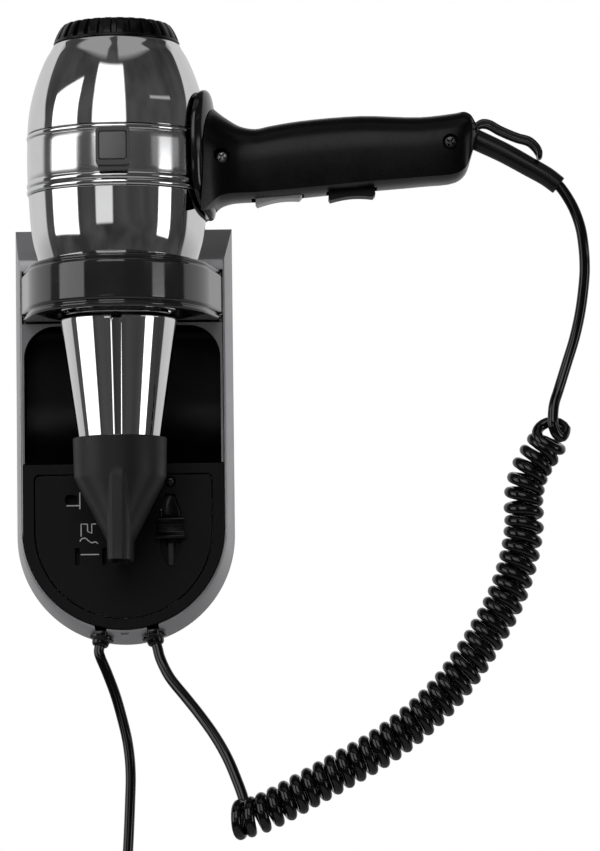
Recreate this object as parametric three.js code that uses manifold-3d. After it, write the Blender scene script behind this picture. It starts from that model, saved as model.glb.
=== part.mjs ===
// Wall-mounted hair dryer in its holder, with a shaver outlet, a curly handset cord and a mains lead.
// Millimetres. +Z is up and -Y points away from the wall. The origin is the middle of the holder's
// back face, and "depth" is the distance in front of the wall, so y = -depth.
import * as THREE from 'three';
import { mergeVertices } from 'three/addons/utils/BufferGeometryUtils.js';
import Module from 'manifold-3d';

const wasm = await Module();
wasm.setup();

// ---------- driving dimensions ----------
const GAP = 0.3;
const ROUND = 28;
const CURVE = 9;
const AXIS_DEPTH = 55;

const HOLDER = { halfWidth: 51.75, top: 100, arcCentre: -46.3 };
const HOLDER_FRONT = { halfWidth: 48.6, top: 83.2, arcCentre: -44, depth: 26 };
const SHELL_WALL = 1.8;
const SCOOP_CLEARANCE = 1.1;
const PLATE_THICKNESS = 2.4;
const WALL_SCREWS = [66, -40];

const RING = { outer: 43.5, side: 47.4, low: 53.4, high: 77.3, bore: 34.2, mouth: 39.4 };
const RECESS = { halfWidth: 46.2, wall: 1, high: 52.8, low: -13.2, corner: 15, deep: 8 };
const PANEL = { halfWidth: 47.2, top: -13.6, arcCentre: -44, front: 26.6, back: 22 };
const SOCKET = { halfWidth: 41.4, top: -19, arcCentre: -44.6, corner: 2.5, front: 27, back: 21.5 };
const SELECTOR = { x: 22, z: -44.3, width: 14, height: 10.3 };
const BUSH = { depth: 13, mains: -11.2, handset: 13.2 };

// Body outline as radius and height, from the intake rim down to the end that sits in the dock ring.
const BODY_OUTLINE = [
  [29.3, 179.3], [30.5, 176.9], [32.9, 172.9], [36.8, 163.5], [39.55, 154.1], [41.2, 144.7],
  [42, 126], [41.3, 107.2], [39.7, 88.5], [36.9, 77.5], [33.4, 67.5], [30.5, 61],
];
const BODY_WALL = 1.5;
const BAND = { low: 108.8, high: 136.9 };
const BEAD_CLEARANCE = 1.1;
const NOSE = { shoulder: 26.9, shoulderHeight: 48.4, tip: 17.3, tipHeight: -20 };
const NOZZLE = { collar: 21.8, collarTop: -3.6, collarLow: -22, neck: 5.9, neckHeight: -52.2, mouth: 5.6,
  mouthHeight: -60.5, mouthReach: 25, wall: 1.6 };

const SADDLE = { halfDepth: 24.5, low: 97.5, high: 157.4, thickness: 4.6 };
// Handle sections: distance from the dryer's axis, bottom, top and half depth.
const HANDLE_SECTIONS = [
  [38, 95.5, 158.5, 25], [43, 99.5, 152.6, 22], [47, 102.4, 146.2, 19.6], [57, 105.6, 140.7, 17.2],
  [85, 107.1, 142.3, 17], [113, 109.2, 144.8, 17], [141, 111.6, 144.4, 16.8], [157, 114.2, 146.3, 15.5],
  [161, 117.6, 146.4, 14.2], [164.4, 122.6, 145.2, 12.2], [167, 128.5, 142, 9], [168.2, 132, 137.4, 5],
];
const HANDLE_WALL = 2.2;
const HANDLE_POWER = 2.7;
// The light rocker's left end swings up past the edge of its opening, so that gap is wider.
const ROCKER_LIGHT = { left: 63.9, right: 85.6, lowLeft: 103.2, lowRight: 106, gapLeft: 1.8 };
const ROCKER_DARK = { left: 97.7, right: 119.6, lowLeft: 105, lowRight: 106.5, gapLeft: 0.8 };
const ROCKER_GAP = 0.8;
const ROCKER_HALF_DEPTH = 5.7;
const SCREW_NECK = [48.8, 124.9];
const SCREW_END = [154.3, 130.4];
const LOOP_PIVOT = [164.6, 138];
const LOOP_LEG = 7.4;
const LOOP_WIRE = 1.4;

const CORD_RADIUS = 2.5;
const CURL_RADIUS = 9.2;
const LEAD_COIL = { x: 0, depth: 13, z: -240, mean: 27.5, bundle: 7.5 };
const PLUG = { x: -27.5, top: -279.5, length: 34 };

// ---------- geometry helpers ----------
function welded(geometry) {
  const bare = geometry.clone();
  bare.deleteAttribute('normal');
  bare.deleteAttribute('uv');
  const merged = mergeVertices(bare, 1e-4);
  const corners = merged.index.array;
  const kept = [];
  for (let i = 0; i < corners.length; i += 3) {
    const [a, b, c] = corners.slice(i, i + 3);
    if (a !== b && b !== c && c !== a) kept.push(a, b, c);
  }
  merged.setIndex(kept);
  return merged;
}

function signedVolume(geometry) {
  const position = geometry.attributes.position;
  const corners = geometry.index.array;
  const [a, b, c] = [new THREE.Vector3(), new THREE.Vector3(), new THREE.Vector3()];
  let sum = 0;
  for (let i = 0; i < corners.length; i += 3) {
    a.fromBufferAttribute(position, corners[i]);
    b.fromBufferAttribute(position, corners[i + 1]);
    c.fromBufferAttribute(position, corners[i + 2]);
    sum += a.dot(b.cross(c));
  }
  return sum;
}

function outward(geometry) {
  const shell = welded(geometry);
  if (signedVolume(shell) < 0) shell.setIndex([...shell.index.array].reverse());
  return shell;
}

function toSolid(geometry) {
  const shell = outward(geometry);
  return new wasm.Manifold(new wasm.Mesh({
    numProp: 3,
    vertProperties: Float32Array.from(shell.attributes.position.array),
    triVerts: Uint32Array.from(shell.index.array),
  }));
}

function toGeometry(solid) {
  const mesh = solid.getMesh();
  const geometry = new THREE.BufferGeometry();
  geometry.setAttribute('position', new THREE.BufferAttribute(mesh.vertProperties, 3));
  geometry.setIndex(new THREE.BufferAttribute(mesh.triVerts, 1));
  geometry.computeVertexNormals();
  return geometry;
}

function cut(body, ...tools) {
  return toGeometry(tools.reduce((solid, tool) => solid.subtract(toSolid(tool)), toSolid(body)));
}

function join(body, ...others) {
  return toGeometry(others.reduce((solid, other) => solid.add(toSolid(other)), toSolid(body)));
}

function common(body, ...others) {
  return toGeometry(others.reduce((solid, other) => solid.intersect(toSolid(other)), toSolid(body)));
}

function box(x, y, z) {
  const [lowX, highX] = x;
  const [lowY, highY] = y;
  const [lowZ, highZ] = z;
  const geometry = new THREE.BoxGeometry(highX - lowX, highY - lowY, highZ - lowZ);
  return geometry.translate((lowX + highX) / 2, (lowY + highY) / 2, (lowZ + highZ) / 2);
}

// A profile of [radius, height] pairs, turned about the Z axis.
function turned(profile, segments = ROUND) {
  const points = profile.map(([radius, height]) => new THREE.Vector2(radius, height));
  return outward(new THREE.LatheGeometry(points, segments).rotateX(Math.PI / 2));
}

function tubeProfile(inner, outer, low, high) {
  return [[inner, low], [outer, low], [outer, high], [inner, high], [inner, low]];
}

function rod(radius, low, high, segments = 14) {
  return turned([[0, low], [radius, low], [radius, high], [0, high]], segments);
}

// A rod along Y, from one y to another, at a place in the XZ plane.
function crossRod(radius, x, z, fromY, toY, segments = 14) {
  return rod(radius, fromY, toY, segments).rotateX(-Math.PI / 2).translate(x, 0, z);
}

// An outline in the XZ plane, given thickness from one depth to another.
function slab(shape, back, front, curveSegments = CURVE) {
  const options = { depth: front - back, bevelEnabled: false, curveSegments };
  return new THREE.ExtrudeGeometry(shape, options).rotateX(Math.PI / 2).translate(0, -back, 0);
}

// An outline in the XY plane, given height from one level to another.
function column(shape, low, high, curveSegments = 16) {
  const options = { depth: high - low, bevelEnabled: false, curveSegments };
  return new THREE.ExtrudeGeometry(shape, options).translate(0, 0, low);
}

// A tube along a smooth curve through the points.
function tube(points, radius, sides, steps) {
  const places = points.map((point) => new THREE.Vector3(...point));
  const path = new THREE.CatmullRomCurve3(places, false, 'centripetal');
  const section = new THREE.Shape();
  for (let i = 0; i < sides; i += 1) {
    const angle = (2 * Math.PI * i) / sides;
    const [x, y] = [radius * Math.cos(angle), radius * Math.sin(angle)];
    if (i === 0) section.moveTo(x, y);
    else section.lineTo(x, y);
  }
  section.closePath();
  return outward(new THREE.ExtrudeGeometry(section, { steps, extrudePath: path, bevelEnabled: false }));
}

// A closed skin through rings of equal point count, with flat ends.
function loft(rings) {
  const around = rings[0].length;
  const steps = rings.length - 1;
  const drum = new THREE.CylinderGeometry(1, 1, 1, around, steps);
  const position = drum.attributes.position;
  const centres = rings.map((ring) => ring.reduce((sum, point) => sum.add(point), new THREE.Vector3())
    .divideScalar(around));
  for (let i = 0; i < position.count; i += 1) {
    const row = Math.round((0.5 - position.getY(i)) * steps);
    const reach = Math.hypot(position.getX(i), position.getZ(i));
    const turn = Math.round((Math.atan2(position.getX(i), position.getZ(i)) / (2 * Math.PI)) * around);
    const place = reach < 0.5 ? centres[row] : rings[row][(turn + around) % around];
    position.setXYZ(i, place.x, place.y, place.z);
  }
  return outward(drum);
}

// Points round an oval with a power above 2 for squarer corners.
function oval(halfA, halfB, power, count) {
  const points = [];
  for (let i = 0; i < count; i += 1) {
    const angle = (2 * Math.PI * i) / count;
    const [c, s] = [Math.cos(angle), Math.sin(angle)];
    points.push([
      halfA * Math.sign(c) * Math.abs(c) ** (2 / power),
      halfB * Math.sign(s) * Math.abs(s) ** (2 / power),
    ]);
  }
  return points;
}

// ---------- outlines shared by several pieces ----------
// Straight sides, a half-round lower end and a level top with optional rounded corners.
function shieldShape({ halfWidth, top, arcCentre, corner = 0 }) {
  const shape = new THREE.Shape();
  shape.moveTo(-halfWidth, arcCentre);
  shape.absarc(0, arcCentre, halfWidth, Math.PI, 2 * Math.PI, false);
  shape.lineTo(halfWidth, top - corner);
  if (corner > 0) shape.quadraticCurveTo(halfWidth, top, halfWidth - corner, top);
  shape.lineTo(corner - halfWidth, top);
  if (corner > 0) shape.quadraticCurveTo(-halfWidth, top, -halfWidth, top - corner);
  shape.closePath();
  return shape;
}

function shieldRing(size, depth) {
  const points = shieldShape(size).getPoints(CURVE);
  if (points[0].distanceTo(points[points.length - 1]) < 1e-6) points.pop();
  return points.map((point) => new THREE.Vector3(point.x, -depth, point.y));
}

// The drafted outer form of the holder at any depth, drawn in by an inset.
function holderSize(depth, inset) {
  const t = depth / HOLDER_FRONT.depth;
  return {
    halfWidth: THREE.MathUtils.lerp(HOLDER.halfWidth, HOLDER_FRONT.halfWidth, t) - inset,
    top: THREE.MathUtils.lerp(HOLDER.top, HOLDER_FRONT.top, t) - inset,
    arcCentre: THREE.MathUtils.lerp(HOLDER.arcCentre, HOLDER_FRONT.arcCentre, t),
  };
}

function holderForm(back, front, inset) {
  return loft([shieldRing(holderSize(back, inset), back), shieldRing(holderSize(front, inset), front)]);
}

function bodyRadius(height) {
  const points = BODY_OUTLINE.map(([radius, z]) => new THREE.Vector2(radius, z));
  const dense = new THREE.SplineCurve(points).getPoints(240);
  const next = dense.findIndex((point) => point.y <= height);
  if (next <= 0) return dense[next === 0 ? 0 : dense.length - 1].x;
  const [high, low] = [dense[next - 1], dense[next]];
  return THREE.MathUtils.mapLinear(height, low.y, high.y, low.x, high.x);
}

// The body's outline between two heights as [radius, height] pairs, offset outwards.
function bodyProfile(low, high, steps, offset) {
  const profile = [];
  for (let i = 0; i <= steps; i += 1) {
    const height = THREE.MathUtils.lerp(low, high, i / steps);
    profile.push([bodyRadius(height) + offset, height]);
  }
  return profile;
}

function bodyForm(offset, low = 90, high = 170) {
  const profile = bodyProfile(low, high, 8, offset);
  return turned([[0, low], ...profile, [0, high]]);
}

function shellBetween(low, high, steps) {
  const outer = bodyProfile(low, high, steps, 0);
  const inner = bodyProfile(low, high, Math.ceil(steps / 2), -BODY_WALL).reverse();
  return [...outer, ...inner, outer[0]];
}

// ---------- holder ----------
function bushPlace(x) {
  const size = holderSize(BUSH.depth, 0);
  const z = size.arcCentre - Math.sqrt(size.halfWidth ** 2 - x ** 2);
  const slope = (HOLDER.halfWidth - HOLDER_FRONT.halfWidth) / HOLDER_FRONT.depth;
  const rise = (HOLDER_FRONT.arcCentre - HOLDER.arcCentre) / HOLDER_FRONT.depth;
  const down = z - size.arcCentre;
  const normal = new THREE.Vector3(x, down * rise - size.halfWidth * slope, down).normalize();
  return { origin: new THREE.Vector3(x, -BUSH.depth, z), normal };
}

// Turns a piece made along +Z so that it points out of the holder's lower surface at a bush.
function atBush(geometry, x) {
  const { origin, normal } = bushPlace(x);
  const turn = new THREE.Quaternion().setFromUnitVectors(new THREE.Vector3(0, 0, 1), normal);
  return geometry.applyQuaternion(turn).translate(origin.x, origin.y, origin.z);
}

function bushSlot(x, halfWidth) {
  return box([x - halfWidth, x + halfWidth], [-HOLDER_FRONT.depth - 2, -BUSH.depth], [-100, -86]);
}

function holderShell() {
  const cavity = holderForm(-1, HOLDER_FRONT.depth - 2.4, SHELL_WALL);
  const window = slab(shieldShape({ halfWidth: 47.6, top: 77.7, arcCentre: HOLDER_FRONT.arcCentre }), 20, 28);
  const bores = [BUSH.mains, BUSH.handset].map((x) => atBush(rod(4.2, -8, 8), x));
  const slots = [BUSH.mains, BUSH.handset].map((x) => bushSlot(x, 2.8));
  const shell = cut(holderForm(0, HOLDER_FRONT.depth, 0), cavity, window, ...bores, ...slots);
  // The roof is scooped out behind the barrel.
  const scoopWall = bodyForm(SCOOP_CLEARANCE + SHELL_WALL, RING.high + 0.5, 104).translate(0, -AXIS_DEPTH, 0);
  const scoop = bodyForm(SCOOP_CLEARANCE, RING.high - 6, 106).translate(0, -AXIS_DEPTH, 0);
  return cut(join(shell, common(scoopWall, holderForm(0, HOLDER_FRONT.depth, 0.2))), scoop);
}

function wallPlate() {
  const plate = slab(shieldShape(holderSize(PLATE_THICKNESS, SHELL_WALL + 0.6)), 0, PLATE_THICKNESS);
  const holes = WALL_SCREWS.map((z) => crossRod(2.6, 0, z, -5, 5));
  return cut(plate, ...holes);
}

function roundHeadScrew(radius, headHeight, shank, length) {
  const body = turned([
    [0, 0], [radius, 0], [radius, headHeight * 0.5], [radius * 0.7, headHeight], [0, headHeight],
  ], 14);
  const cross = [box([-radius, radius], [-0.5, 0.5], [headHeight * 0.55, headHeight + 1])];
  cross.push(box([-0.5, 0.5], [-radius, radius], [headHeight * 0.55, headHeight + 1]));
  return cut(join(body, rod(shank, -length, 0.2, 8)), ...cross);
}

// A screw that faces away from the wall, with its seat at the given place.
function frontScrew(radius, headHeight, shank, length, x, seatDepth, z) {
  return roundHeadScrew(radius, headHeight, shank, length).rotateX(Math.PI / 2).translate(x, -seatDepth, z);
}

function dockRing() {
  const plan = new THREE.Shape();
  plan.moveTo(-RING.side, -20);
  plan.lineTo(-RING.side, -27);
  plan.lineTo(-RING.outer, -AXIS_DEPTH);
  plan.absarc(0, -AXIS_DEPTH, RING.outer, Math.PI, 2 * Math.PI, false);
  plan.lineTo(RING.side, -27);
  plan.lineTo(RING.side, -20);
  plan.closePath();
  const bore = turned([
    [0, 40], [RING.bore - 0.3, 40], [RING.bore, 66], [37.4, 75.4], [RING.mouth, RING.high + 0.2],
    [RING.mouth, 90], [0, 90],
  ]).translate(0, -AXIS_DEPTH, 0);
  return cut(column(plan, RING.low, RING.high), bore);
}

// The hollow behind the nozzle: deep at the top, coming forward to the socket panel at the bottom.
function recessHollow() {
  const section = new THREE.Shape();
  section.moveTo(-RECESS.deep - 4, RECESS.high - 1.2);
  section.lineTo(-40, RECESS.high - 1.2);
  section.lineTo(-40, RECESS.low);
  section.lineTo(-25.4, RECESS.low);
  section.bezierCurveTo(-16, -6, -RECESS.deep, 2, -RECESS.deep, 18);
  section.lineTo(-RECESS.deep, RECESS.high - 6);
  section.closePath();
  const across = new THREE.ExtrudeGeometry(section, { depth: 100, bevelEnabled: false, curveSegments: 10 });
  // The section's first axis is Y and its second is Z, and it is drawn out along X.
  across.rotateY(Math.PI / 2);
  across.rotateX(Math.PI / 2);
  across.translate(-50, 0, 0);
  const opening = new THREE.Shape();
  const { halfWidth, high, low, corner } = RECESS;
  opening.moveTo(-halfWidth, low - 5);
  opening.lineTo(halfWidth, low - 5);
  opening.lineTo(halfWidth, high - 1.2 - corner);
  opening.absarc(halfWidth - corner, high - 1.2 - corner, corner, 0, Math.PI / 2, false);
  opening.lineTo(corner - halfWidth, high - 1.2);
  opening.absarc(corner - halfWidth, high - 1.2 - corner, corner, Math.PI / 2, Math.PI, false);
  opening.closePath();
  return common(across, slab(opening, 0, 45, 10));
}

function recessLiner() {
  const side = RECESS.halfWidth + RECESS.wall;
  const block = box([-side, side], [-HOLDER_FRONT.depth, -5], [RECESS.low, RECESS.high]);
  return cut(block, recessHollow());
}

function panelFrame() {
  const shape = shieldShape(PANEL);
  shape.holes.push(new THREE.Path(shieldShape({
    halfWidth: SOCKET.halfWidth + GAP,
    top: SOCKET.top + GAP,
    arcCentre: SOCKET.arcCentre,
    corner: SOCKET.corner,
  }).getPoints(CURVE)));
  return slab(shape, PANEL.back, PANEL.front);
}

function selectorOpening() {
  const shape = new THREE.Shape();
  shape.moveTo(SELECTOR.x - 2.2, -28);
  shape.lineTo(SELECTOR.x + 2.2, -28);
  shape.lineTo(SELECTOR.x + 5, -36);
  shape.lineTo(SELECTOR.x + 5, -54);
  shape.lineTo(SELECTOR.x + 1.6, -62);
  shape.lineTo(SELECTOR.x - 1.6, -62);
  shape.lineTo(SELECTOR.x - 5, -54);
  shape.lineTo(SELECTOR.x - 5, -36);
  shape.closePath();
  return slab(shape, 24, 30);
}

function socketPlate() {
  const upper = [-24.4, -6.4].map((x) => box([x - 3, x + 3], [-30, -20], [-32.8, -28]));
  const lower = [-21.7, -9].map((x) => box([x - 1.1, x + 1.1], [-30, -20], [-61, -53]));
  const guide = box([SELECTOR.x - 2, SELECTOR.x + 2], [-30, -20], [-54, -36]);
  const screwSeat = crossRod(2.6, 22.1, -22.4, -30, -24.6);
  const screwHole = crossRod(1.2, 22.1, -22.4, -30, -20, 12);
  return cut(slab(shieldShape(SOCKET), SOCKET.back, SOCKET.front), ...upper, ...lower, guide,
    selectorOpening(), screwSeat, screwHole);
}

function selectorSlider() {
  const { x, z, width, height } = SELECTOR;
  const side = new THREE.Shape();
  side.moveTo(-27.4, z - height / 2);
  side.lineTo(-31, z - height / 2 + 0.6);
  side.lineTo(-30, z + height / 2);
  side.lineTo(-27.4, z + height / 2);
  side.closePath();
  const knob = new THREE.ExtrudeGeometry(side, { depth: width, bevelEnabled: false });
  knob.rotateY(Math.PI / 2);
  knob.rotateX(Math.PI / 2);
  knob.translate(x - width / 2, 0, 0);
  return join(knob, box([x - 1.6, x + 1.6], [-28, -20.8], [z - 2.6, z + 2.6]));
}

function selectorSwitch() {
  const body = box([SELECTOR.x - 7, SELECTOR.x + 7], [-21, -12], [-54, -35]);
  const track = box([SELECTOR.x - 2, SELECTOR.x + 2], [-22, -18], [-53, -36]);
  return cut(body, track);
}

function outletContact(x, reach) {
  const strip = box([x - 2.4, x + 2.4], [-20.6, -19.4], [-62, -27]);
  const clip = box([x - reach, x + reach], [-20.6, -14], [-61, -53]);
  return join(strip, clip);
}

function transformerCore() {
  const core = box([-3.5, 25.5], [-19, -4], [-81, -59]);
  const windows = [[1, 6], [16, 21]].map(([low, high]) => box([low, high], [-20, -3], [-77, -63]));
  return cut(core, ...windows);
}

function transformerWinding() {
  return cut(box([1.6, 20.4], [-20.4, -3], [-76, -64]), box([5.7, 16.3], [-19.3, -3.7], [-80, -60]));
}

function terminalBlock() {
  const block = box([-30, -9], [-14, -3], [-77, -66]);
  const ways = [-26.5, -19.5, -12.5].map((x) => crossRod(1.6, x, -71.5, -16, -8, 12));
  return cut(block, ...ways);
}

function cordBush(x) {
  const body = atBush(turned([
    [0, -6], [3, -6], [5.4, -3.6], [5.4, -2.2], [3.9, -2.2], [3.9, 0.5], [6.2, 0.5], [6.2, 2.2], [5, 3],
    [3.4, 6.2], [0, 6.2],
  ], 16), x);
  const { origin } = bushPlace(x);
  const tongueHeight = [origin.z - 0.4, origin.z + 2.6];
  const tongue = box([x - 2.5, x + 2.5], [-HOLDER_FRONT.depth + 0.8, -BUSH.depth], tongueHeight);
  return join(body, tongue);
}

// ---------- dryer, about its own vertical axis ----------
function barrelUpper() {
  return turned(shellBetween(BAND.high + GAP, 179.3, 7));
}

function barrelBand() {
  const outer = [
    [bodyRadius(BAND.low), BAND.low], [42.1, 110], [42.1, 114.2], [41.85, 114.9], [42, 124], [41.8, 134.2],
    [42.1, 134.9], [42.05, 136.4], [bodyRadius(BAND.high), BAND.high],
  ];
  const inner = bodyProfile(BAND.low, BAND.high, 3, -BODY_WALL).reverse();
  const wireHole = rod(10, 20, 60, 24).rotateY(Math.PI / 2).translate(0, 0, 125);
  const stemHole = crossRod(2.2, 0, 126, -60, -20, 12);
  return cut(turned([...outer, ...inner, outer[0]]), wireHole, stemHole);
}

function barrelLower() {
  const outer = [...bodyProfile(61, BAND.low - GAP, 6, 0)];
  const inner = [...bodyProfile(61.6, BAND.low - GAP, 3, -BODY_WALL)].reverse();
  return turned([[24, 55], [28, 57], ...outer, ...inner, [27.4, 58.6], [24, 56.6], [24, 55]]);
}

function noseCone() {
  const { shoulder, shoulderHeight, tip, tipHeight } = NOSE;
  return turned([
    [tip, tipHeight], [shoulder, shoulderHeight], [26.4, 50.8], [25, 52.8], [22.6, 53.9], [22.6, 60],
    [21.2, 60], [21.2, 53], [25.3, shoulderHeight], [tip - BODY_WALL, tipHeight], [tip, tipHeight],
  ]);
}

function outletGrille() {
  const bars = [-9, -4.5, 0, 4.5, 9].map((y) => box([-14.5, 14.5], [y - 0.5, y + 0.5], [-17.5, -14.5]));
  const ring = turned(tubeProfile(13.4, 15.9, -18, -14), 24);
  return join(ring, ...bars.map((bar) => common(bar, rod(14.2, -20, -10, 24))));
}

function heaterFrame() {
  return join(box([-20, 20], [-0.4, 0.4], [63, 108]), box([-0.4, 0.4], [-20, 20], [63, 108]));
}

function heaterCoil() {
  const turns = 5;
  const perTurn = 10;
  const points = [];
  for (let i = 0; i <= turns * perTurn; i += 1) {
    const angle = (2 * Math.PI * i) / perTurn;
    points.push([21.6 * Math.cos(angle), 21.6 * Math.sin(angle), 67 + (36 * i) / (turns * perTurn)]);
  }
  return tube(points, 0.7, 4, turns * 11);
}

function fanShroud() {
  const ring = turned(tubeProfile(30.7, 32.2, 138, 167), 32);
  const cup = turned(tubeProfile(14.5, 15.9, 122, 146), 24);
  const arms = [0, 1, 2].map((i) => box([15.2, 31.4], [-1.2, 1.2], [138.5, 145])
    .rotateZ((2 * Math.PI * i) / 3));
  return join(ring, cup, ...arms);
}

function motorBody() {
  return turned([
    [1.6, 118], [9, 118], [14, 121], [14, 144], [5, 145.5], [5, 147.5], [1.6, 147.5], [1.6, 118],
  ], 24);
}

function fanRotor() {
  const hub = turned([[1.5, 150.5], [9, 150.5], [9, 160], [5, 163.5], [1.5, 163.5], [1.5, 150.5]], 14);
  const blades = [];
  const count = 7;
  for (let i = 0; i < count; i += 1) {
    const blade = box([8, 29.6], [-0.8, 0.8], [-7, 7]);
    blade.rotateX(0.85);
    blades.push(blade.translate(0, 0, 156.5).rotateZ((2 * Math.PI * i) / count));
  }
  return join(hub, ...blades);
}

function intakeFilter() {
  const bars = [-14, 0, 14].flatMap((offset) => [
    box([-29, 29], [offset - 0.6, offset + 0.6], [171.4, 172.8]),
    box([offset - 0.6, offset + 0.6], [-29, 29], [171.4, 172.8]),
  ]);
  const ring = turned(tubeProfile(27.6, 30.3, 171, 173), 28);
  return join(ring, ...bars.map((bar) => common(bar, rod(28.4, 170, 174, 28))));
}

// A round outline whose radius steps between rib crowns and the grooves between them.
function ribbedRing(crown, groove, height, ribs) {
  const points = [];
  const pitch = (2 * Math.PI) / ribs;
  for (let i = 0; i < ribs; i += 1) {
    [[-0.24, groove], [-0.16, crown], [0.16, crown], [0.24, groove]].forEach(([offset, radius]) => {
      const angle = (i + offset * 1.2) * pitch;
      points.push(new THREE.Vector3(radius * Math.cos(angle), radius * Math.sin(angle), height));
    });
  }
  return points;
}

function rearCap() {
  const ribs = 28;
  const dome = loft([
    ribbedRing(29, 26.2, 180.7, ribs), ribbedRing(27.2, 25.8, 184.6, ribs), ribbedRing(26, 24.8, 187.2, ribs),
    ribbedRing(22.4, 22.2, 188.8, ribs),
  ]);
  const rim = turned([
    [0, 175.4], [27.4, 175.4], [27.4, 179.6], [29.3, 179.6], [29.3, 180.9], [0, 180.9],
  ], ribs);
  const hollow = turned([[0, 170], [25.6, 170], [24.8, 182.4], [23.4, 186], [21, 187.2], [0, 187.2]], ribs);
  const slots = [];
  const count = 12;
  for (let i = 0; i < count; i += 1) {
    slots.push(box([7, 19], [-1.1, 1.1], [186, 190]).rotateZ((2 * Math.PI * i) / count));
  }
  return cut(join(dome, rim), hollow, ...slots);
}

function buttonHousing() {
  const side = new THREE.Shape();
  side.moveTo(-38, 134.2);
  side.lineTo(-46.5, 134.2);
  side.lineTo(-46.5, 117.7);
  side.lineTo(-43.2, 114.9);
  side.lineTo(-38, 114.9);
  side.closePath();
  const block = new THREE.ExtrudeGeometry(side, { depth: 15.5, bevelEnabled: false });
  block.rotateY(Math.PI / 2);
  block.rotateX(Math.PI / 2);
  block.translate(-7.75, 0, 0);
  const barrel = turned([[0, 112], [42.5, 112], [42.5, 138], [0, 138]]);
  return cut(block, barrel, box([-6.4, 6.4], [-50, -40], [119.4, 132.6]));
}

function coolButton() {
  return join(box([-6, 6], [-46.8, -44.5], [119.8, 132.2]), crossRod(1.7, 0, 126, -45, -38.6, 12));
}

function saddleCollar() {
  const centre = (SADDLE.low + SADDLE.high) / 2;
  const rings = [25, 52].map((x) => oval(SADDLE.halfDepth, (SADDLE.high - SADDLE.low) / 2, 2.2, 28)
    .map(([y, z]) => new THREE.Vector3(x, y, centre + z)));
  const wireHole = rod(9.5, 20, 60, 24).rotateY(Math.PI / 2).translate(0, 0, 125);
  return cut(common(loft(rings), bodyForm(SADDLE.thickness)), bodyForm(BEAD_CLEARANCE), wireHole);
}

function handleRing([x, low, high, halfDepth], inset, count = 18) {
  const points = oval(halfDepth - inset, (high - low) / 2 - inset, HANDLE_POWER, count);
  return points.map(([y, z]) => new THREE.Vector3(x, y, (low + high) / 2 + z));
}

function handleBlank() {
  const grip = loft(HANDLE_SECTIONS.map((section) => handleRing(section, 0)));
  return cut(grip, bodyForm(SADDLE.thickness + GAP));
}

// Everything that is cut from both halves: rocker openings, sleeve bore, loop slots and loop pivots.
function handleCuts() {
  const openings = [ROCKER_LIGHT, ROCKER_DARK]
    .map(({ left, right, gapLeft }) => box([left - gapLeft, right + ROCKER_GAP], [-6.3, 6.3], [95, 113]));
  const sleeveBore = tube([[150, 0, 141.9], [160.5, 0, 136.6], [172, 0, 130.9]], 5.5, 16, 2);
  const slots = [-1, 1].map((side) => {
    const leg = side * LOOP_LEG;
    return box([159.8, 172], [leg - 1.8, leg + 1.8], [135.4, 152]);
  });
  return [...openings, sleeveBore, ...slots, crossRod(1.8, ...LOOP_PIVOT, -11.2, 11.2)];
}

// One half of the handle: side -1 is the front, away from the wall, and side 1 is the rear.
function handleHalf(side) {
  const half = side < 0 ? [-40, -GAP / 2] : [GAP / 2, 40];
  const cavity = loft(HANDLE_SECTIONS.slice(0, 8).map((section) => handleRing(section, HANDLE_WALL, 12)));
  const places = [SCREW_NECK, SCREW_END];
  const posts = places.map(([x, z]) => common(crossRod(5.4, x, z, -30, 30), handleBlank()));
  const heads = places.map(([x, z]) => crossRod(3.7, x, z, -40, -12));
  const shanks = places.map(([x, z]) => crossRod(1.8, x, z, -40, 11, 12));
  const hollow = join(cut(handleBlank(), cavity), ...posts);
  return common(cut(hollow, ...heads, ...shanks, ...handleCuts()), box([30, 180], half, [90, 165]));
}

function rocker({ left, right, lowLeft, lowRight }) {
  const middle = (left + right) / 2;
  const shape = new THREE.Shape();
  shape.moveTo(left, lowLeft);
  shape.quadraticCurveTo(middle, (lowLeft + lowRight) / 2 + 2.2, right, lowRight);
  shape.lineTo(right - 0.4, 110.4);
  shape.lineTo(middle, 112.4);
  shape.lineTo(left + 0.4, 110.4);
  shape.closePath();
  const width = 2 * ROCKER_HALF_DEPTH;
  const body = new THREE.ExtrudeGeometry(shape, { depth: width, bevelEnabled: false, curveSegments: 8 });
  return body.rotateX(Math.PI / 2).translate(0, ROCKER_HALF_DEPTH, 0);
}

function switchBody({ left, right }) {
  const body = box([left + 0.6, right - 0.6], [-6, 6], [113.6, 128]);
  const terminals = [0.3, 0.7].map((t) => {
    const x = THREE.MathUtils.lerp(left, right, t);
    return box([x - 1, x + 1], [-3, 3], [124, 130]);
  });
  return cut(body, ...terminals);
}

function cordSleeve() {
  const path = new THREE.CatmullRomCurve3([
    [160.5, 136.5], [167.9, 132.9], [179.9, 127], [190.7, 120.8], [199.5, 115.6], [204.6, 111.6],
  ].map(([x, z]) => new THREE.Vector3(x, 0, z)));
  const steps = 8;
  const rings = [];
  for (let i = 0; i <= steps; i += 1) {
    const centre = path.getPointAt(i / steps);
    const along = path.getTangentAt(i / steps);
    const across = new THREE.Vector3(-along.z, 0, along.x);
    const radius = THREE.MathUtils.lerp(5, 4.4, i / steps);
    rings.push(oval(radius, radius, 2, 16).map(([a, b]) => centre.clone()
      .addScaledVector(across, a).add(new THREE.Vector3(0, b, 0))));
  }
  return loft(rings);
}

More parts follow.
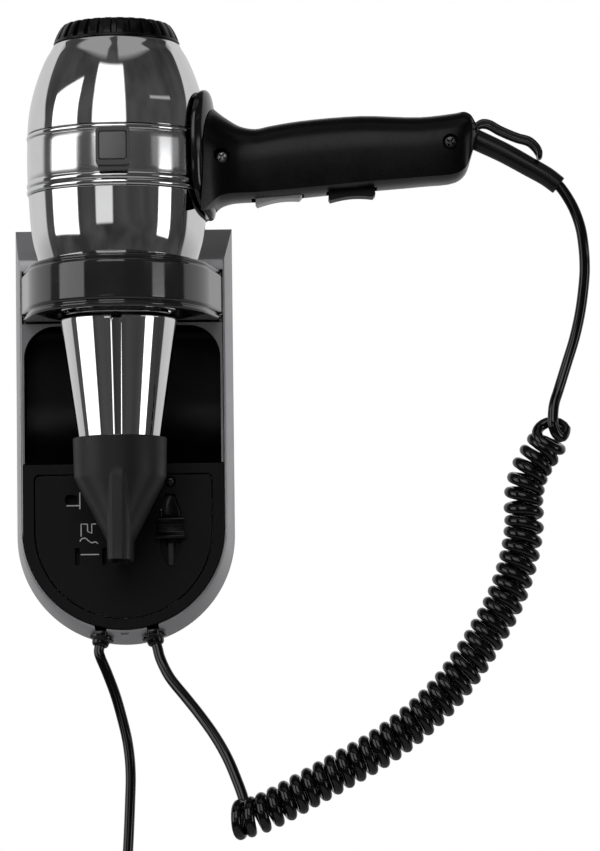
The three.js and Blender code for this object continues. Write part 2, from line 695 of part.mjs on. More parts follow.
function hangLoop() {
  const leg = [
    [LOOP_PIVOT[0], 10.9, LOOP_PIVOT[1]], [LOOP_PIVOT[0] + 0.1, 8.9, LOOP_PIVOT[1]], [166.2, LOOP_LEG, 138.9],
    [169.3, LOOP_LEG, 140.7], [172.6, LOOP_LEG, 140.4], [178, LOOP_LEG, 137.4], [185.8, LOOP_LEG, 134],
    [191.4, LOOP_LEG, 132.2], [194.6, LOOP_LEG, 129.2], [195.9, LOOP_LEG - 0.6, 126.8], [196.1, 4.6, 125.3],
  ];
  const other = leg.map(([x, y, z]) => [x, -y, z]).reverse();
  return tube([...leg, ...other], LOOP_WIRE, 6, 44);
}

function cordClamp() {
  return cut(box([141, 147], [-9, 9], [124, 134]), box([140, 148], [-3, 3], [122, 130]));
}

// The nozzle's outer form, or its air passage when it is drawn in by the wall.
function nozzleForm(inset) {
  const { collar, collarTop, collarLow, neck, neckHeight, mouth, mouthHeight, mouthReach } = NOZZLE;
  const over = inset > 0 ? 1 : 0;
  const ring = (halfX, halfY, z, power) => oval(halfX - inset, halfY - inset, power, 24)
    .map(([x, y]) => new THREE.Vector3(x, y, z));
  const cone = loft([
    ring(collar, collar, collarTop + over, 2), ring(collar - 0.5, collar - 0.5, collarLow, 2),
    ring(neck, collar - 0.4, neckHeight, 2.3), ring(mouth, collar - 0.2, mouthHeight - over, 2.4),
  ]);
  const stadium = (halfX, halfY, z) => oval(halfX - inset, halfY - inset, 5, 20)
    .map(([x, y]) => new THREE.Vector3(x, y, z));
  const duct = loft([
    stadium(neck - 1.4, collar - 1.4, collarLow + 2.5), stadium(neck, collar + 0.4, collarLow - 3),
    stadium(neck, mouthReach - 0.7, neckHeight), stadium(mouth, mouthReach, mouthHeight - over),
  ]);
  return join(cone, duct);
}

function concentrator() {
  const coneClear = turned([
    [0, 0], [20.3, 0], [20.3, -3], [NOSE.tip + 0.5, NOSE.tipHeight - 0.5], [0, NOSE.tipHeight - 0.5],
  ]);
  return cut(nozzleForm(0), nozzleForm(NOZZLE.wall), coneClear);
}

// ---------- cords ----------
function handsetLeadUpper() {
  return tube([
    [205.3, -55, 110.8], [206.9, -55, 108.6], [211, -55, 98.2], [215, -55, 87], [216.2, -55, 74.7],
    [215.2, -55, 62.3], [212.5, -55, 48.8], [208.6, -55, 37.8], [204.3, -55, 25.5], [201.4, -55, 15.5],
    [200.2, -54, 8.4], [199.6, -53, 3.6],
  ], CORD_RADIUS, 10, 18);
}

function handsetLeadCurl() {
  return tube([
    [198.4, -52, 1.6], [193.6, -52, -10.5], [188.6, -52, -21], [186.3, -52, -33], [186.3, -52, -46],
    [183.7, -52, -61], [177.4, -52, -79.5], [168.4, -52, -96], [157, -52, -113], [146, -52, -126],
    [133, -52, -137.5], [119, -52, -147.5], [101, -52, -157.6], [84, -52, -166.8], [70, -52, -174.2],
    [60, -52, -177.6], [54.8, -52, -178.7],
  ], CURL_RADIUS, 12, 26);
}

function handsetLeadLower() {
  return tube([
    [49.5, -50, -177.5], [49.7, -48, -170], [50.2, -44.6, -161.9], [47.4, -40, -151.7], [41.9, -35, -141.4],
    [34.5, -29, -131.1], [28.5, -24, -123.6], [20.8, -18.7, -114], [17.4, -16, -107.7], [15.8, -15, -103.6],
    [15.1, -14.6, -100.7],
  ], CORD_RADIUS, 8, 16);
}

function mainsLead() {
  return tube([
    [-12.7, -14.6, -101.3], [-12, -14.5, -104], [-9.3, -13.9, -110.5], [-5.2, -13.3, -121.7],
    [-2.3, -13, -132.1], [0.1, -13, -142.5], [1.3, -13, -151.4], [1.7, -13, -160.2], [1.3, -13, -172.1],
    [0.6, -13, -186.8], [0, -13, -201.4],
  ], CORD_RADIUS, 8, 12);
}

function mainsCoil() {
  const { mean, bundle, x, depth, z } = LEAD_COIL;
  const profile = [];
  const sides = 8;
  for (let i = 0; i <= sides; i += 1) {
    const angle = (2 * Math.PI * i) / sides;
    profile.push([mean + bundle * Math.cos(angle), bundle * Math.sin(angle)]);
  }
  return turned(profile, 24).rotateX(Math.PI / 2).translate(x, -depth, z);
}

function mainsLeadTail() {
  const y = -LEAD_COIL.depth;
  return tube([[PLUG.x, y, -266.4], [PLUG.x, y, -272], [PLUG.x, y, PLUG.top + GAP]], CORD_RADIUS, 8, 2);
}

function cordTie() {
  const { mean, bundle, x, depth, z } = LEAD_COIL;
  const band = turned(tubeProfile(bundle + 0.5, bundle + 1.7, -3, 3), 24);
  return band.translate(x + mean, -depth, z);
}

function plugBody() {
  const { x, top, length } = PLUG;
  const ring = (halfX, halfY, z) => oval(halfX, halfY, 2.6, 16)
    .map(([a, b]) => new THREE.Vector3(x + a, b - LEAD_COIL.depth, z));
  return loft([
    ring(3.3, 3.3, top), ring(3.9, 3.9, top - 9), ring(7.5, 5.4, top - 12.5), ring(13.4, 6.6, top - 18),
    ring(13.8, 6.8, top - length + 1.5), ring(13, 6, top - length),
  ]);
}

function plugPin(side) {
  const low = PLUG.top - PLUG.length - GAP;
  return turned([[0, low], [2, low], [2, low - 17.6], [1.2, low - 18.8], [0, low - 18.8]], 14)
    .translate(PLUG.x + side * 9.3, -LEAD_COIL.depth, 0);
}

// ---------- finishes ----------
const FINISH = {
  chrome: [0xc9cbce, 0.06, 1],
  satinChrome: [0x8c8d90, 0.32, 1],
  silverPlastic: [0x9a9b9f, 0.38, 0.35],
  glossBlack: [0x0c0c0e, 0.12, 0],
  mattBlack: [0x1c1c1e, 0.6, 0],
  mattGrey: [0x3a3a3d, 0.62, 0],
  lightGrey: [0xa9aaad, 0.4, 0],
  rubber: [0x151516, 0.7, 0],
  steel: [0x9c9ea1, 0.35, 1],
  brass: [0xb08d45, 0.35, 1],
  copper: [0xa8632f, 0.4, 1],
  mica: [0xb9a684, 0.7, 0],
  whitePlastic: [0xdedcd4, 0.5, 0],
};

function piece(group, name, geometry, finish) {
  const [color, roughness, metalness] = FINISH[finish];
  const mesh = new THREE.Mesh(geometry, new THREE.MeshStandardMaterial({ color, roughness, metalness }));
  mesh.name = name;
  group.add(mesh);
}

// ---------- assembly ----------
const unit = new THREE.Group();

function addHolder() {
  piece(unit, 'wall_plate', wallPlate(), 'steel');
  [['wall_screw_upper', WALL_SCREWS[0]], ['wall_screw_lower', WALL_SCREWS[1]]].forEach(([name, z]) => {
    piece(unit, name, frontScrew(4.4, 2.4, 2, 1.9, 0, PLATE_THICKNESS + GAP, z), 'steel');
  });
  piece(unit, 'holder_shell', holderShell(), 'silverPlastic');
  piece(unit, 'dock_ring', dockRing(), 'glossBlack');
  piece(unit, 'recess_liner', recessLiner(), 'glossBlack');
  piece(unit, 'panel_frame', panelFrame(), 'mattBlack');
  piece(unit, 'socket_plate', socketPlate(), 'mattBlack');
  piece(unit, 'plate_screw', frontScrew(2.1, 1.4, 0.9, 8, 22.1, 24.9, -22.4), 'steel');
  piece(unit, 'selector_slider', selectorSlider(), 'mattBlack');
  piece(unit, 'selector_switch', selectorSwitch(), 'mattGrey');
  piece(unit, 'outlet_contact_left', outletContact(-23, 2.6), 'brass');
  piece(unit, 'outlet_contact_right', outletContact(-7.9, 2.6), 'brass');
  piece(unit, 'transformer_core', transformerCore(), 'steel');
  piece(unit, 'transformer_winding', transformerWinding(), 'copper');
  piece(unit, 'terminal_block', terminalBlock(), 'whitePlastic');
  piece(unit, 'mains_bush', cordBush(BUSH.mains), 'rubber');
  piece(unit, 'handset_bush', cordBush(BUSH.handset), 'rubber');
}

function addBarrel(dryer) {
  piece(dryer, 'barrel_upper', barrelUpper(), 'chrome');
  piece(dryer, 'barrel_band', barrelBand(), 'satinChrome');
  piece(dryer, 'barrel_lower', barrelLower(), 'chrome');
  piece(dryer, 'nose_cone', noseCone(), 'chrome');
  piece(dryer, 'outlet_grille', outletGrille(), 'steel');
  piece(dryer, 'heat_tube', turned(tubeProfile(24.7, 25.5, 61.5, 112)), 'mica');
  piece(dryer, 'heater_frame', heaterFrame(), 'mica');
  piece(dryer, 'heater_coil', heaterCoil(), 'steel');
  piece(dryer, 'thermostat', rod(4, 64, 70).translate(9, 9, 0), 'steel');
  piece(dryer, 'fan_shroud', fanShroud(), 'mattBlack');
  piece(dryer, 'motor_body', motorBody(), 'steel');
  piece(dryer, 'motor_shaft', rod(1.2, 119, 163), 'steel');
  piece(dryer, 'fan_rotor', fanRotor(), 'mattBlack');
  piece(dryer, 'intake_filter', intakeFilter(), 'steel');
  piece(dryer, 'rear_cap', rearCap(), 'glossBlack');
  piece(dryer, 'button_housing', buttonHousing(), 'glossBlack');
  piece(dryer, 'cool_button', coolButton(), 'mattGrey');
  piece(dryer, 'cool_switch', box([-4, 4], [-36.6, -31], [121, 131]), 'mattGrey');
}

function addHandle(dryer) {
  piece(dryer, 'saddle_collar', saddleCollar(), 'glossBlack');
  piece(dryer, 'handle_front', handleHalf(-1), 'glossBlack');
  piece(dryer, 'handle_rear', handleHalf(1), 'glossBlack');
  [['handle_screw_neck', SCREW_NECK], ['handle_screw_end', SCREW_END]].forEach(([name, [x, z]]) => {
    piece(dryer, name, frontScrew(3.3, 2, 1.4, 20, x, 12.3, z), 'steel');
  });
  piece(dryer, 'rocker_light', rocker(ROCKER_LIGHT), 'lightGrey');
  piece(dryer, 'rocker_dark', rocker(ROCKER_DARK), 'mattBlack');
  piece(dryer, 'switch_body_light', switchBody(ROCKER_LIGHT), 'whitePlastic');
  piece(dryer, 'switch_body_dark', switchBody(ROCKER_DARK), 'whitePlastic');
  piece(dryer, 'cord_clamp', cordClamp(), 'mattGrey');
  piece(dryer, 'cord_sleeve', cordSleeve(), 'rubber');
  piece(dryer, 'hang_loop', hangLoop(), 'mattBlack');
  piece(dryer, 'concentrator', concentrator(), 'mattGrey');
}

function addCords() {
  piece(unit, 'handset_lead_upper', handsetLeadUpper(), 'glossBlack');
  piece(unit, 'handset_lead_curl', handsetLeadCurl(), 'glossBlack');
  piece(unit, 'handset_lead_lower', handsetLeadLower(), 'glossBlack');
  piece(unit, 'mains_lead', mainsLead(), 'glossBlack');
  piece(unit, 'mains_coil', mainsCoil(), 'glossBlack');
  piece(unit, 'mains_lead_tail', mainsLeadTail(), 'glossBlack');
  piece(unit, 'cord_tie', cordTie(), 'mattBlack');
  piece(unit, 'plug_body', plugBody(), 'mattBlack');
  piece(unit, 'plug_pin_left', plugPin(-1), 'steel');
  piece(unit, 'plug_pin_right', plugPin(1), 'steel');
}

const dryerGroup = new THREE.Group();
dryerGroup.position.set(0, -AXIS_DEPTH, 0);
unit.add(dryerGroup);
addHolder();
addBarrel(dryerGroup);
addHandle(dryerGroup);
addCords();

export default unit;
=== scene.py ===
import math

import bmesh
import bpy
from mathutils import Matrix, Vector


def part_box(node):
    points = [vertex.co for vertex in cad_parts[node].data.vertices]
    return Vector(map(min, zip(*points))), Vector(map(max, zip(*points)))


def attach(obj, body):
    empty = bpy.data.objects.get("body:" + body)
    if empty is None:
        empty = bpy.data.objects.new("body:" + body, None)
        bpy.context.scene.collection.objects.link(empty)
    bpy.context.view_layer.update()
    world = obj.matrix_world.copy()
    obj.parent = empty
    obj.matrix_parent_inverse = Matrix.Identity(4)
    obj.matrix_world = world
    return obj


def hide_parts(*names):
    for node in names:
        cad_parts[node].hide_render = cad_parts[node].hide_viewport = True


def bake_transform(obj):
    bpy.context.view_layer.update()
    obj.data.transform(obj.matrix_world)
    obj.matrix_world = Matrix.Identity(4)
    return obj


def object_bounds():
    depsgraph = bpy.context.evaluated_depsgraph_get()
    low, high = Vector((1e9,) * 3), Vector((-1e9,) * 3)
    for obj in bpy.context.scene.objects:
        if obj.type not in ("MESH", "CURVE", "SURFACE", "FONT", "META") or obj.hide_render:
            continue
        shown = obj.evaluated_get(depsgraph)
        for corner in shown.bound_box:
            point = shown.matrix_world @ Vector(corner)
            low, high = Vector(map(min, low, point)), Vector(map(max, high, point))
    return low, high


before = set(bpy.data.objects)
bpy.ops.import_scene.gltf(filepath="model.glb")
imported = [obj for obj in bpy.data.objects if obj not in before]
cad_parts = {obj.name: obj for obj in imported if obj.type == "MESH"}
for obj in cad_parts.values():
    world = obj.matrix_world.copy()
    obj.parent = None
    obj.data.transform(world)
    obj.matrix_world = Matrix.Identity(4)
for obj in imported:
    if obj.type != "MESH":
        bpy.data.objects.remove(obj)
CAD_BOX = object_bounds()

# Sizes below are in millimetres, in the frame's axes: +X right, +Y into the wall, +Z up.
MM = 0.001


def extent(node):
    """The lowest and highest corners of a CAD node, in millimetres."""
    low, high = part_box(node)
    return low / MM, high / MM


BAND_LOW, BAND_HIGH = extent("barrel_band")
AXIS_Y = (BAND_LOW.y + BAND_HIGH.y) / 2

# ---------- mesh helpers ----------
MERGE_DISTANCE = 1e-7


def linked(name, data):
    """An object with that mesh or camera, in the scene."""
    obj = bpy.data.objects.new(name, data)
    bpy.context.scene.collection.objects.link(obj)
    return obj


def mesh_object(name, points, faces):
    """A mesh object from points in millimetres, with its faces pointing out."""
    mesh = bpy.data.meshes.new(name)
    mesh.from_pydata([tuple(c * MM for c in point) for point in points], [], faces)
    work = bmesh.new()
    work.from_mesh(mesh)
    bmesh.ops.remove_doubles(work, verts=work.verts, dist=MERGE_DISTANCE)
    bmesh.ops.recalc_face_normals(work, faces=work.faces)
    work.to_mesh(mesh)
    work.free()
    return linked(name, mesh)


def skin(name, rows, wrap=False):
    """A closed skin over rows of points, each row a closed loop; wrap joins the last row to the first."""
    count = len(rows[0])
    points = [point for row in rows for point in row]
    faces = []
    for r in range(len(rows) if wrap else len(rows) - 1):
        a = r * count
        b = (r + 1) % len(rows) * count
        faces.extend((a + c, a + (c + 1) % count, b + (c + 1) % count, b + c) for c in range(count))
    if not wrap:
        faces.append(tuple(range(count)))
        faces.append(tuple((len(rows) - 1) * count + c for c in range(count)))
    return mesh_object(name, points, faces)


def spline(points, steps):
    """Points along a centripetal Catmull-Rom curve, with that many steps between neighbours."""
    places = [Vector(point) for point in points]
    places = [places[0] * 2 - places[1]] + places + [places[-1] * 2 - places[-2]]
    line = []
    for i in range(1, len(places) - 2):
        p0, p1, p2, p3 = places[i - 1:i + 3]
        t1 = (p1 - p0).length ** 0.5
        t2 = t1 + (p2 - p1).length ** 0.5
        t3 = t2 + (p3 - p2).length ** 0.5
        for k in range(steps):
            t = t1 + (t2 - t1) * k / steps
            a1 = p0 * ((t1 - t) / t1) + p1 * (t / t1)
            a2 = p1 * ((t2 - t) / (t2 - t1)) + p2 * ((t - t1) / (t2 - t1))
            a3 = p2 * ((t3 - t) / (t3 - t2)) + p3 * ((t - t2) / (t3 - t2))
            b1 = a1 * ((t2 - t) / t2) + a2 * (t / t2)
            b2 = a2 * ((t3 - t) / (t3 - t1)) + a3 * ((t - t1) / (t3 - t1))
            line.append(b1 * ((t2 - t) / (t2 - t1)) + b2 * ((t - t1) / (t2 - t1)))
    line.append(places[-2])
    return line


def tube_rows(line, radius, sides):
    """Rings of points round a line, turned as little as possible from one to the next."""
    rows = []
    across = None
    for i, place in enumerate(line):
        along = (line[min(i + 1, len(line) - 1)] - line[max(i - 1, 0)]).normalized()
        if across is None:
            across = along.orthogonal()
        across = (across - along * across.dot(along)).normalized()
        other = along.cross(across)
        reach = radius(i / (len(line) - 1)) if callable(radius) else radius
        rows.append([place + (across * math.cos(a) + other * math.sin(a)) * reach for a in turns(sides)])
    return rows


def tube(name, line, radius, sides=16):
    return skin(name, tube_rows(line, radius, sides))


def smooth(obj, angle=35):
    """Smooth shading, with creases where faces meet at more than the angle."""
    obj.data.shade_smooth()
    obj.data.set_sharp_from_angle(angle=math.radians(angle))
    return obj


def place(obj, body, slot, material, *nodes):
    """Gives a piece its material and its body, and hides the CAD nodes that it stands for. The slot is not
    used.
    """
    obj.data.materials.clear()
    obj.data.materials.append(material)
    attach(obj, body)
    if nodes:
        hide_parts(*nodes)
    return obj


# ---------- camera ----------
TARGET = Vector((83.3, 0, 5.4))
CAMERA_DISTANCE = 1812
CAMERA_RISE = math.radians(4.4)
CAMERA_ROLL = math.radians(0.7)
LENS = 160.75
SENSOR = 36


def add_camera():
    data = bpy.data.cameras.new("camera")
    data.lens = LENS
    data.sensor_fit = "VERTICAL"
    data.sensor_height = SENSOR
    data.sensor_width = SENSOR
    camera = linked("camera", data)
    forward = Vector((0, math.cos(CAMERA_RISE), math.sin(CAMERA_RISE)))
    level_up = Vector((0, -math.sin(CAMERA_RISE), math.cos(CAMERA_RISE)))
    side = Vector((1, 0, 0))
    right = side * math.cos(CAMERA_ROLL) - level_up * math.sin(CAMERA_ROLL)
    up = side * math.sin(CAMERA_ROLL) + level_up * math.cos(CAMERA_ROLL)
    turn = Matrix((right, up, -forward)).transposed().to_4x4()
    camera.matrix_world = Matrix.Translation((TARGET - forward * CAMERA_DISTANCE) * MM) @ turn
    bpy.context.scene.camera = camera


add_camera()


# ---------- materials ----------
def add_noise(tree, place_in, size, detail=3.0, rough=0.55):
    """A noise whose features are about that many millimetres across."""
    noise = tree.nodes.new("ShaderNodeTexNoise")
    noise.inputs["Scale"].default_value = 1 / (size * MM)
    noise.inputs["Detail"].default_value = detail
    noise.inputs["Roughness"].default_value = rough
    tree.links.new(place_in, noise.inputs["Vector"])
    return noise.outputs["Fac"]


def ranged(tree, value, low, high, from_low=0.3, from_high=0.7):
    """The value stretched from its own range to a new one."""
    node = tree.nodes.new("ShaderNodeMapRange")
    for name, number in (("From Min", from_low), ("From Max", from_high), ("To Min", low), ("To Max", high)):
        node.inputs[name].default_value = number
    tree.links.new(value, node.inputs["Value"])
    return node.outputs["Result"]


def mixed(tree, factor, dark, light):
    """A colour between two, by a factor."""
    node = tree.nodes.new("ShaderNodeMix")
    node.data_type = "RGBA"
    tree.links.new(factor, node.inputs["Factor"])
    for index, value in ((6, dark), (7, light)):
        if isinstance(value, tuple):
            node.inputs[index].default_value = (*value, 1)
        else:
            tree.links.new(value, node.inputs[index])
    return node.outputs[2]


def drifting(tree, color, mottle, dust, clouds, fine):
    """A colour that drifts with the clouds, with dust in the fine grain's hollows."""
    dark = tuple(c * (1 - mottle) for c in color)
    light = tuple(min(1, c * (1 + mottle)) for c in color)
    tone = mixed(tree, ranged(tree, clouds, 0, 1), dark, light)
    if dust == 0:
        return tone
    grey = tuple(min(1, c + dust) for c in color)
    return mixed(tree, ranged(tree, fine, 0, 1, 0.55, 0.75), tone, grey)


def worn(tree, roughness, uneven, clouds, fine):
    """A roughness that drifts with the clouds and the fine grain."""
    total = tree.nodes.new("ShaderNodeMath")
    total.operation = "ADD"
    tree.links.new(ranged(tree, clouds, roughness - uneven, roughness + uneven), total.inputs[0])
    tree.links.new(ranged(tree, fine, -uneven * 0.4, uneven * 0.4), total.inputs[1])
    return total.outputs[0]


def bumped(tree, height, relief):
    """A normal that follows a height, with that relief in millimetres."""
    bump = tree.nodes.new("ShaderNodeBump")
    bump.inputs["Strength"].default_value = 1.0
    bump.inputs["Distance"].default_value = relief * MM
    tree.links.new(height, bump.inputs["Height"])
    return bump.outputs["Normal"]


def upright_tangent(tree):
    """The direction round an upright axis, along which a turned metal's fine lines run."""
    around = tree.nodes.new("ShaderNodeTangent")
    around.direction_type = "RADIAL"
    around.axis = "Z"
    return around.outputs["Tangent"]


def surface(name, color, roughness, metallic=0.0, mottle=0.12, cloud=14.0, uneven=0.05, grain=0.35,
            relief=0.01, stretch=(1, 1, 1), dust=0.0, **shader_inputs):
    """A procedural material. Its colour and roughness drift over clouds of a size in millimetres, and a
    fine bump has that grain and relief in millimetres. Dust lightens the grain's hollows."""
    made = bpy.data.materials.new(name)
    made.use_nodes = True
    tree = made.node_tree
    shader = tree.nodes["Principled BSDF"]
    where = tree.nodes.new("ShaderNodeTexCoord").outputs["Object"]
    mapping = tree.nodes.new("ShaderNodeMapping")
    mapping.inputs["Scale"].default_value = stretch
    tree.links.new(where, mapping.inputs["Vector"])
    clouds = add_noise(tree, where, cloud)
    fine = add_noise(tree, mapping.outputs["Vector"], grain, 2.0)
    tree.links.new(drifting(tree, color, mottle, dust, clouds, fine), shader.inputs["Base Color"])
    tree.links.new(worn(tree, roughness, uneven, clouds, fine), shader.inputs["Roughness"])
    shader.inputs["Metallic"].default_value = metallic
    for key, value in shader_inputs.items():
        shader.inputs[key.replace("_", " ")].default_value = value
    if "Anisotropic" in shader_inputs:
        tree.links.new(upright_tangent(tree), shader.inputs["Tangent"])
    tree.links.new(bumped(tree, fine, relief), shader.inputs["Normal"])
    return made


CHROME = surface("chrome", (0.83, 0.83, 0.84), 0.045, 1.0, mottle=0.02, uneven=0.02, grain=0.5,
                 relief=0.0012)
BEAD_CHROME = surface("bead_chrome", (0.8, 0.8, 0.81), 0.07, 1.0, mottle=0.03, uneven=0.03, grain=0.3,
                      relief=0.002)
SATIN = surface("satin_chrome", (0.85, 0.85, 0.86), 0.21, 1.0, mottle=0.04, uneven=0.02, grain=0.12,
                relief=0.003, stretch=(0.25, 0.25, 1), Anisotropic=0.9, Anisotropic_Rotation=0.25)
SILVER = surface("silver_paint", (0.48, 0.48, 0.5), 0.36, 0.5, mottle=0.05, grain=0.16, relief=0.004,
                 dust=0.03)
GLOSS_BLACK = surface("gloss_black", (0.0065, 0.0065, 0.0075), 0.12, mottle=0.2, cloud=20, uneven=0.03,
                      grain=2.5, relief=0.004, Coat_Weight=0.3, Coat_Roughness=0.06)
GRIP_BLACK = surface("grip_black", (0.0025, 0.0025, 0.0028), 0.27, mottle=0.2, cloud=20, grain=2.0,
                     relief=0.004, Specular_IOR_Level=0.22)
LINER_BLACK = surface("liner_black", (0.0013, 0.0013, 0.0016), 0.36, mottle=0.2, grain=1.2,
                      relief=0.006, Specular_IOR_Level=0.12)
# Light grey with painted light, for the liner's corners, which lie in the ring's shadow.
CORNER_PAINTED_LIGHT = surface("corner_painted_light", (0.3, 0.3, 0.31), 0.25, mottle=0.1, grain=2.0, relief=0.004,
                      Coat_Weight=0.3, Coat_Roughness=0.08)
PANEL_BLACK = surface("panel_black", (0.004, 0.004, 0.0042), 0.5, uneven=0.06, grain=0.28, relief=0.015,
                      dust=0.004, Specular_IOR_Level=0.2)
MATT_BLACK = surface("matt_black", (0.012, 0.012, 0.0125), 0.45, uneven=0.07, grain=0.3, relief=0.014,
                     dust=0.008)
NOZZLE_GREY = surface("nozzle_grey", (0.014, 0.0138, 0.0146), 0.46, mottle=0.1, uneven=0.06, grain=0.32,
                      relief=0.014, dust=0.008, Specular_IOR_Level=0.35)
BUTTON_GREY = surface("button_grey", (0.19, 0.187, 0.193), 0.5, mottle=0.08, grain=0.25, relief=0.012,
                      dust=0.02)
FRAME_GREY = surface("frame_grey", (0.09, 0.089, 0.092), 0.42, mottle=0.08, grain=0.25, relief=0.012,
                     dust=0.012)
ROCKER_GREY = surface("rocker_grey", (0.93, 0.93, 0.94), 0.38, mottle=0.05, grain=0.3)
ROCKER_BLACK = surface("rocker_black", (0.004, 0.004, 0.0044), 0.42, grain=0.3, Specular_IOR_Level=0.3)
RUBBER = surface("rubber", (0.0045, 0.0045, 0.0048), 0.28, mottle=0.18, uneven=0.07, grain=0.45,
                 relief=0.008, dust=0.004)
BUSH_BLACK = surface("bush_black", (0.003, 0.003, 0.0034), 0.1, mottle=0.15, uneven=0.03, grain=1.0,
                     relief=0.004)
CORD_BLACK = surface("cord_black", (0.0025, 0.0025, 0.0029), 0.07, mottle=0.2, cloud=8, uneven=0.03,
                     grain=3.0, relief=0.003)
STEEL = surface("steel", (0.55, 0.55, 0.56), 0.3, 1.0, mottle=0.08, uneven=0.08, grain=0.2,
                relief=0.006)
# Dark steel; on the handle's end screw this darker tone is painted shade.
DARK_STEEL = surface("dark_steel", (0.09, 0.088, 0.088), 0.34, 1.0, mottle=0.15, uneven=0.08,
                      grain=0.2, relief=0.006)
BRASS = surface("brass", (0.62, 0.46, 0.2), 0.28, 1.0, mottle=0.1, uneven=0.08, grain=0.3, relief=0.005)
COPPER = surface("copper", (0.6, 0.28, 0.12), 0.32, 1.0, mottle=0.1, grain=0.4, relief=0.05,
                 stretch=(0.05, 1, 1))
MICA = surface("mica", (0.6, 0.5, 0.36), 0.55, mottle=0.2, cloud=5, grain=0.8, relief=0.03, dust=0.1)
WHITE_PLASTIC = surface("white_plastic", (0.8, 0.79, 0.75), 0.4, mottle=0.04, grain=0.4)
CAP_BLACK = surface("cap_black", (0.003, 0.003, 0.0033), 0.3, mottle=0.2, uneven=0.07, grain=0.3,
                    relief=0.008, dust=0.003, Specular_IOR_Level=0.25)
RING_BLACK = surface("ring_black", (0.026, 0.026, 0.028), 0.1, mottle=0.2, cloud=25, uneven=0.035,
                     grain=3, relief=0.006, Specular_IOR_Level=0.6, Coat_Weight=0.4,
                     Coat_Roughness=0.05)
KNOB_BLACK = surface("knob_black", (0.003, 0.003, 0.0033), 0.28, uneven=0.07, grain=0.3, relief=0.008,
                     Specular_IOR_Level=0.3)
LOOP_BLACK = surface("loop_black", (0.012, 0.012, 0.013), 0.28, uneven=0.08, grain=0.5)
SCALE_GREY = surface("scale_grey", (0.04, 0.04, 0.042), 0.5, mottle=0.1, cloud=3, grain=0.25)
SCREW_STEEL = surface("screw_steel", (0.3, 0.295, 0.29), 0.3, 1.0, mottle=0.15, cloud=2, uneven=0.08,
                      grain=0.2, relief=0.008)
INK = surface("white_ink", (0.75, 0.75, 0.75), 0.55, cloud=1.5, grain=0.2)
FLOOR = surface("floor_paper", (0.8, 0.8, 0.8), 0.8, mottle=0.02, cloud=300, grain=3, relief=0.1)

CARRIED = {
    STEEL: ["wall_plate", "wall_screw_upper", "wall_screw_lower", "transformer_core", "heater_coil",
            "thermostat", "motor_body", "motor_shaft"],
    BRASS: ["outlet_contact_left", "outlet_contact_right"],
    COPPER: ["transformer_winding"],
    WHITE_PLASTIC: ["terminal_block", "switch_body_light", "switch_body_dark"],
    MICA: ["heat_tube", "heater_frame"],
    MATT_BLACK: ["selector_switch", "fan_shroud", "fan_rotor", "cool_switch", "cord_clamp"],
}


def dress_carried_nodes():
    """Gives the CAD pieces that stay their materials, and shades their round faces smooth."""
    for made, names in CARRIED.items():
        for name in names:
            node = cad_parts[name]
            node.data.materials.clear()
            node.data.materials.append(made)
            smooth(node)


dress_carried_nodes()

# ---------- shaping helpers ----------
def settle(obj):
    """Bakes a piece's modifiers into its mesh."""
    graph = bpy.context.evaluated_depsgraph_get()
    mesh = bpy.data.meshes.new_from_object(obj.evaluated_get(graph))
    obj.modifiers.clear()
    obj.data = mesh
    return obj


def carve(obj, *tools, operation="DIFFERENCE"):
    """Cuts the tools out of a piece, or joins or intersects them, and removes them."""
    for tool in tools:
        modifier = obj.modifiers.new("carve", "BOOLEAN")
        modifier.operation = operation
        modifier.solver = "EXACT"
        modifier.object = tool
    settle(obj)
    for tool in tools:
        bpy.data.objects.remove(tool)
    return obj


def fuse(obj, *others):
    return carve(obj, *others, operation="UNION")


def soften(obj, width=0.3, segments=2, angle=35):
    """Rounds the edges of a piece and keeps its flat faces flat."""
    smooth(obj, angle)
    bevel = obj.modifiers.new("bevel", "BEVEL")
    bevel.width = width * MM
    bevel.segments = segments
    bevel.limit_method = "ANGLE"
    bevel.angle_limit = math.radians(angle)
    bevel.harden_normals = True
    return settle(obj)


def move(obj, matrix):
    """Moves the points of a piece by a matrix in millimetres."""
    shift = matrix.copy()
    shift.translation = matrix.translation * MM
    obj.data.transform(shift)
    return obj


def turns(count):
    """That many equal angles round a full turn."""
    return [math.tau * k / count for k in range(count)]


def polar_row(reach, z, angles, centre):
    """A level loop of points round a centre, with a reach for each angle."""
    return [(centre[0] + reach(a) * math.cos(a), centre[1] + reach(a) * math.sin(a), z) for a in angles]


def revolve(name, profile, wrap=True, count=160, centre=(0, 0), relief=None):
    """A profile of radius and height pairs turned about an upright axis; wrap closes it into a ring."""
    rows = []
    for radius, z in profile:
        rows.append(polar_row(lambda a: radius + (relief(a, z) if relief else 0), z, turns(count), centre))
    return skin(name, rows, wrap)


def on_axis(name, profile, wrap=True, count=160, relief=None):
    return revolve(name, profile, wrap, count, (0, AXIS_Y), relief)


def block(name, x, y, z):
    corners = [(x[0], y[0]), (x[1], y[0]), (x[1], y[1]), (x[0], y[1])]
    return skin(name, [[(a, b, height) for a, b in corners] for height in z])


def slab(name, outline, back, front):
    """An outline of x and z pairs, given thickness between two depths in front of the wall."""
    return skin(name, [[(x, -depth, z) for x, z in outline] for depth in (back, front)])


def rod(name, radius, start, end, sides=32):
    return skin(name, tube_rows([Vector(start), Vector(end)], radius, sides))


def rounded(left, right, low, high, corner, steps=8):
    """A rectangle with rounded corners, as x and z pairs."""
    outline = []
    for quarter, (x, z) in enumerate([(right - corner, high - corner), (left + corner, high - corner),
                                      (left + corner, low + corner), (right - corner, low + corner)]):
        for k in range(steps + 1):
            angle = (quarter + k / steps) * math.pi / 2
            outline.append((x + corner * math.cos(angle), z + corner * math.sin(angle)))
    return outline


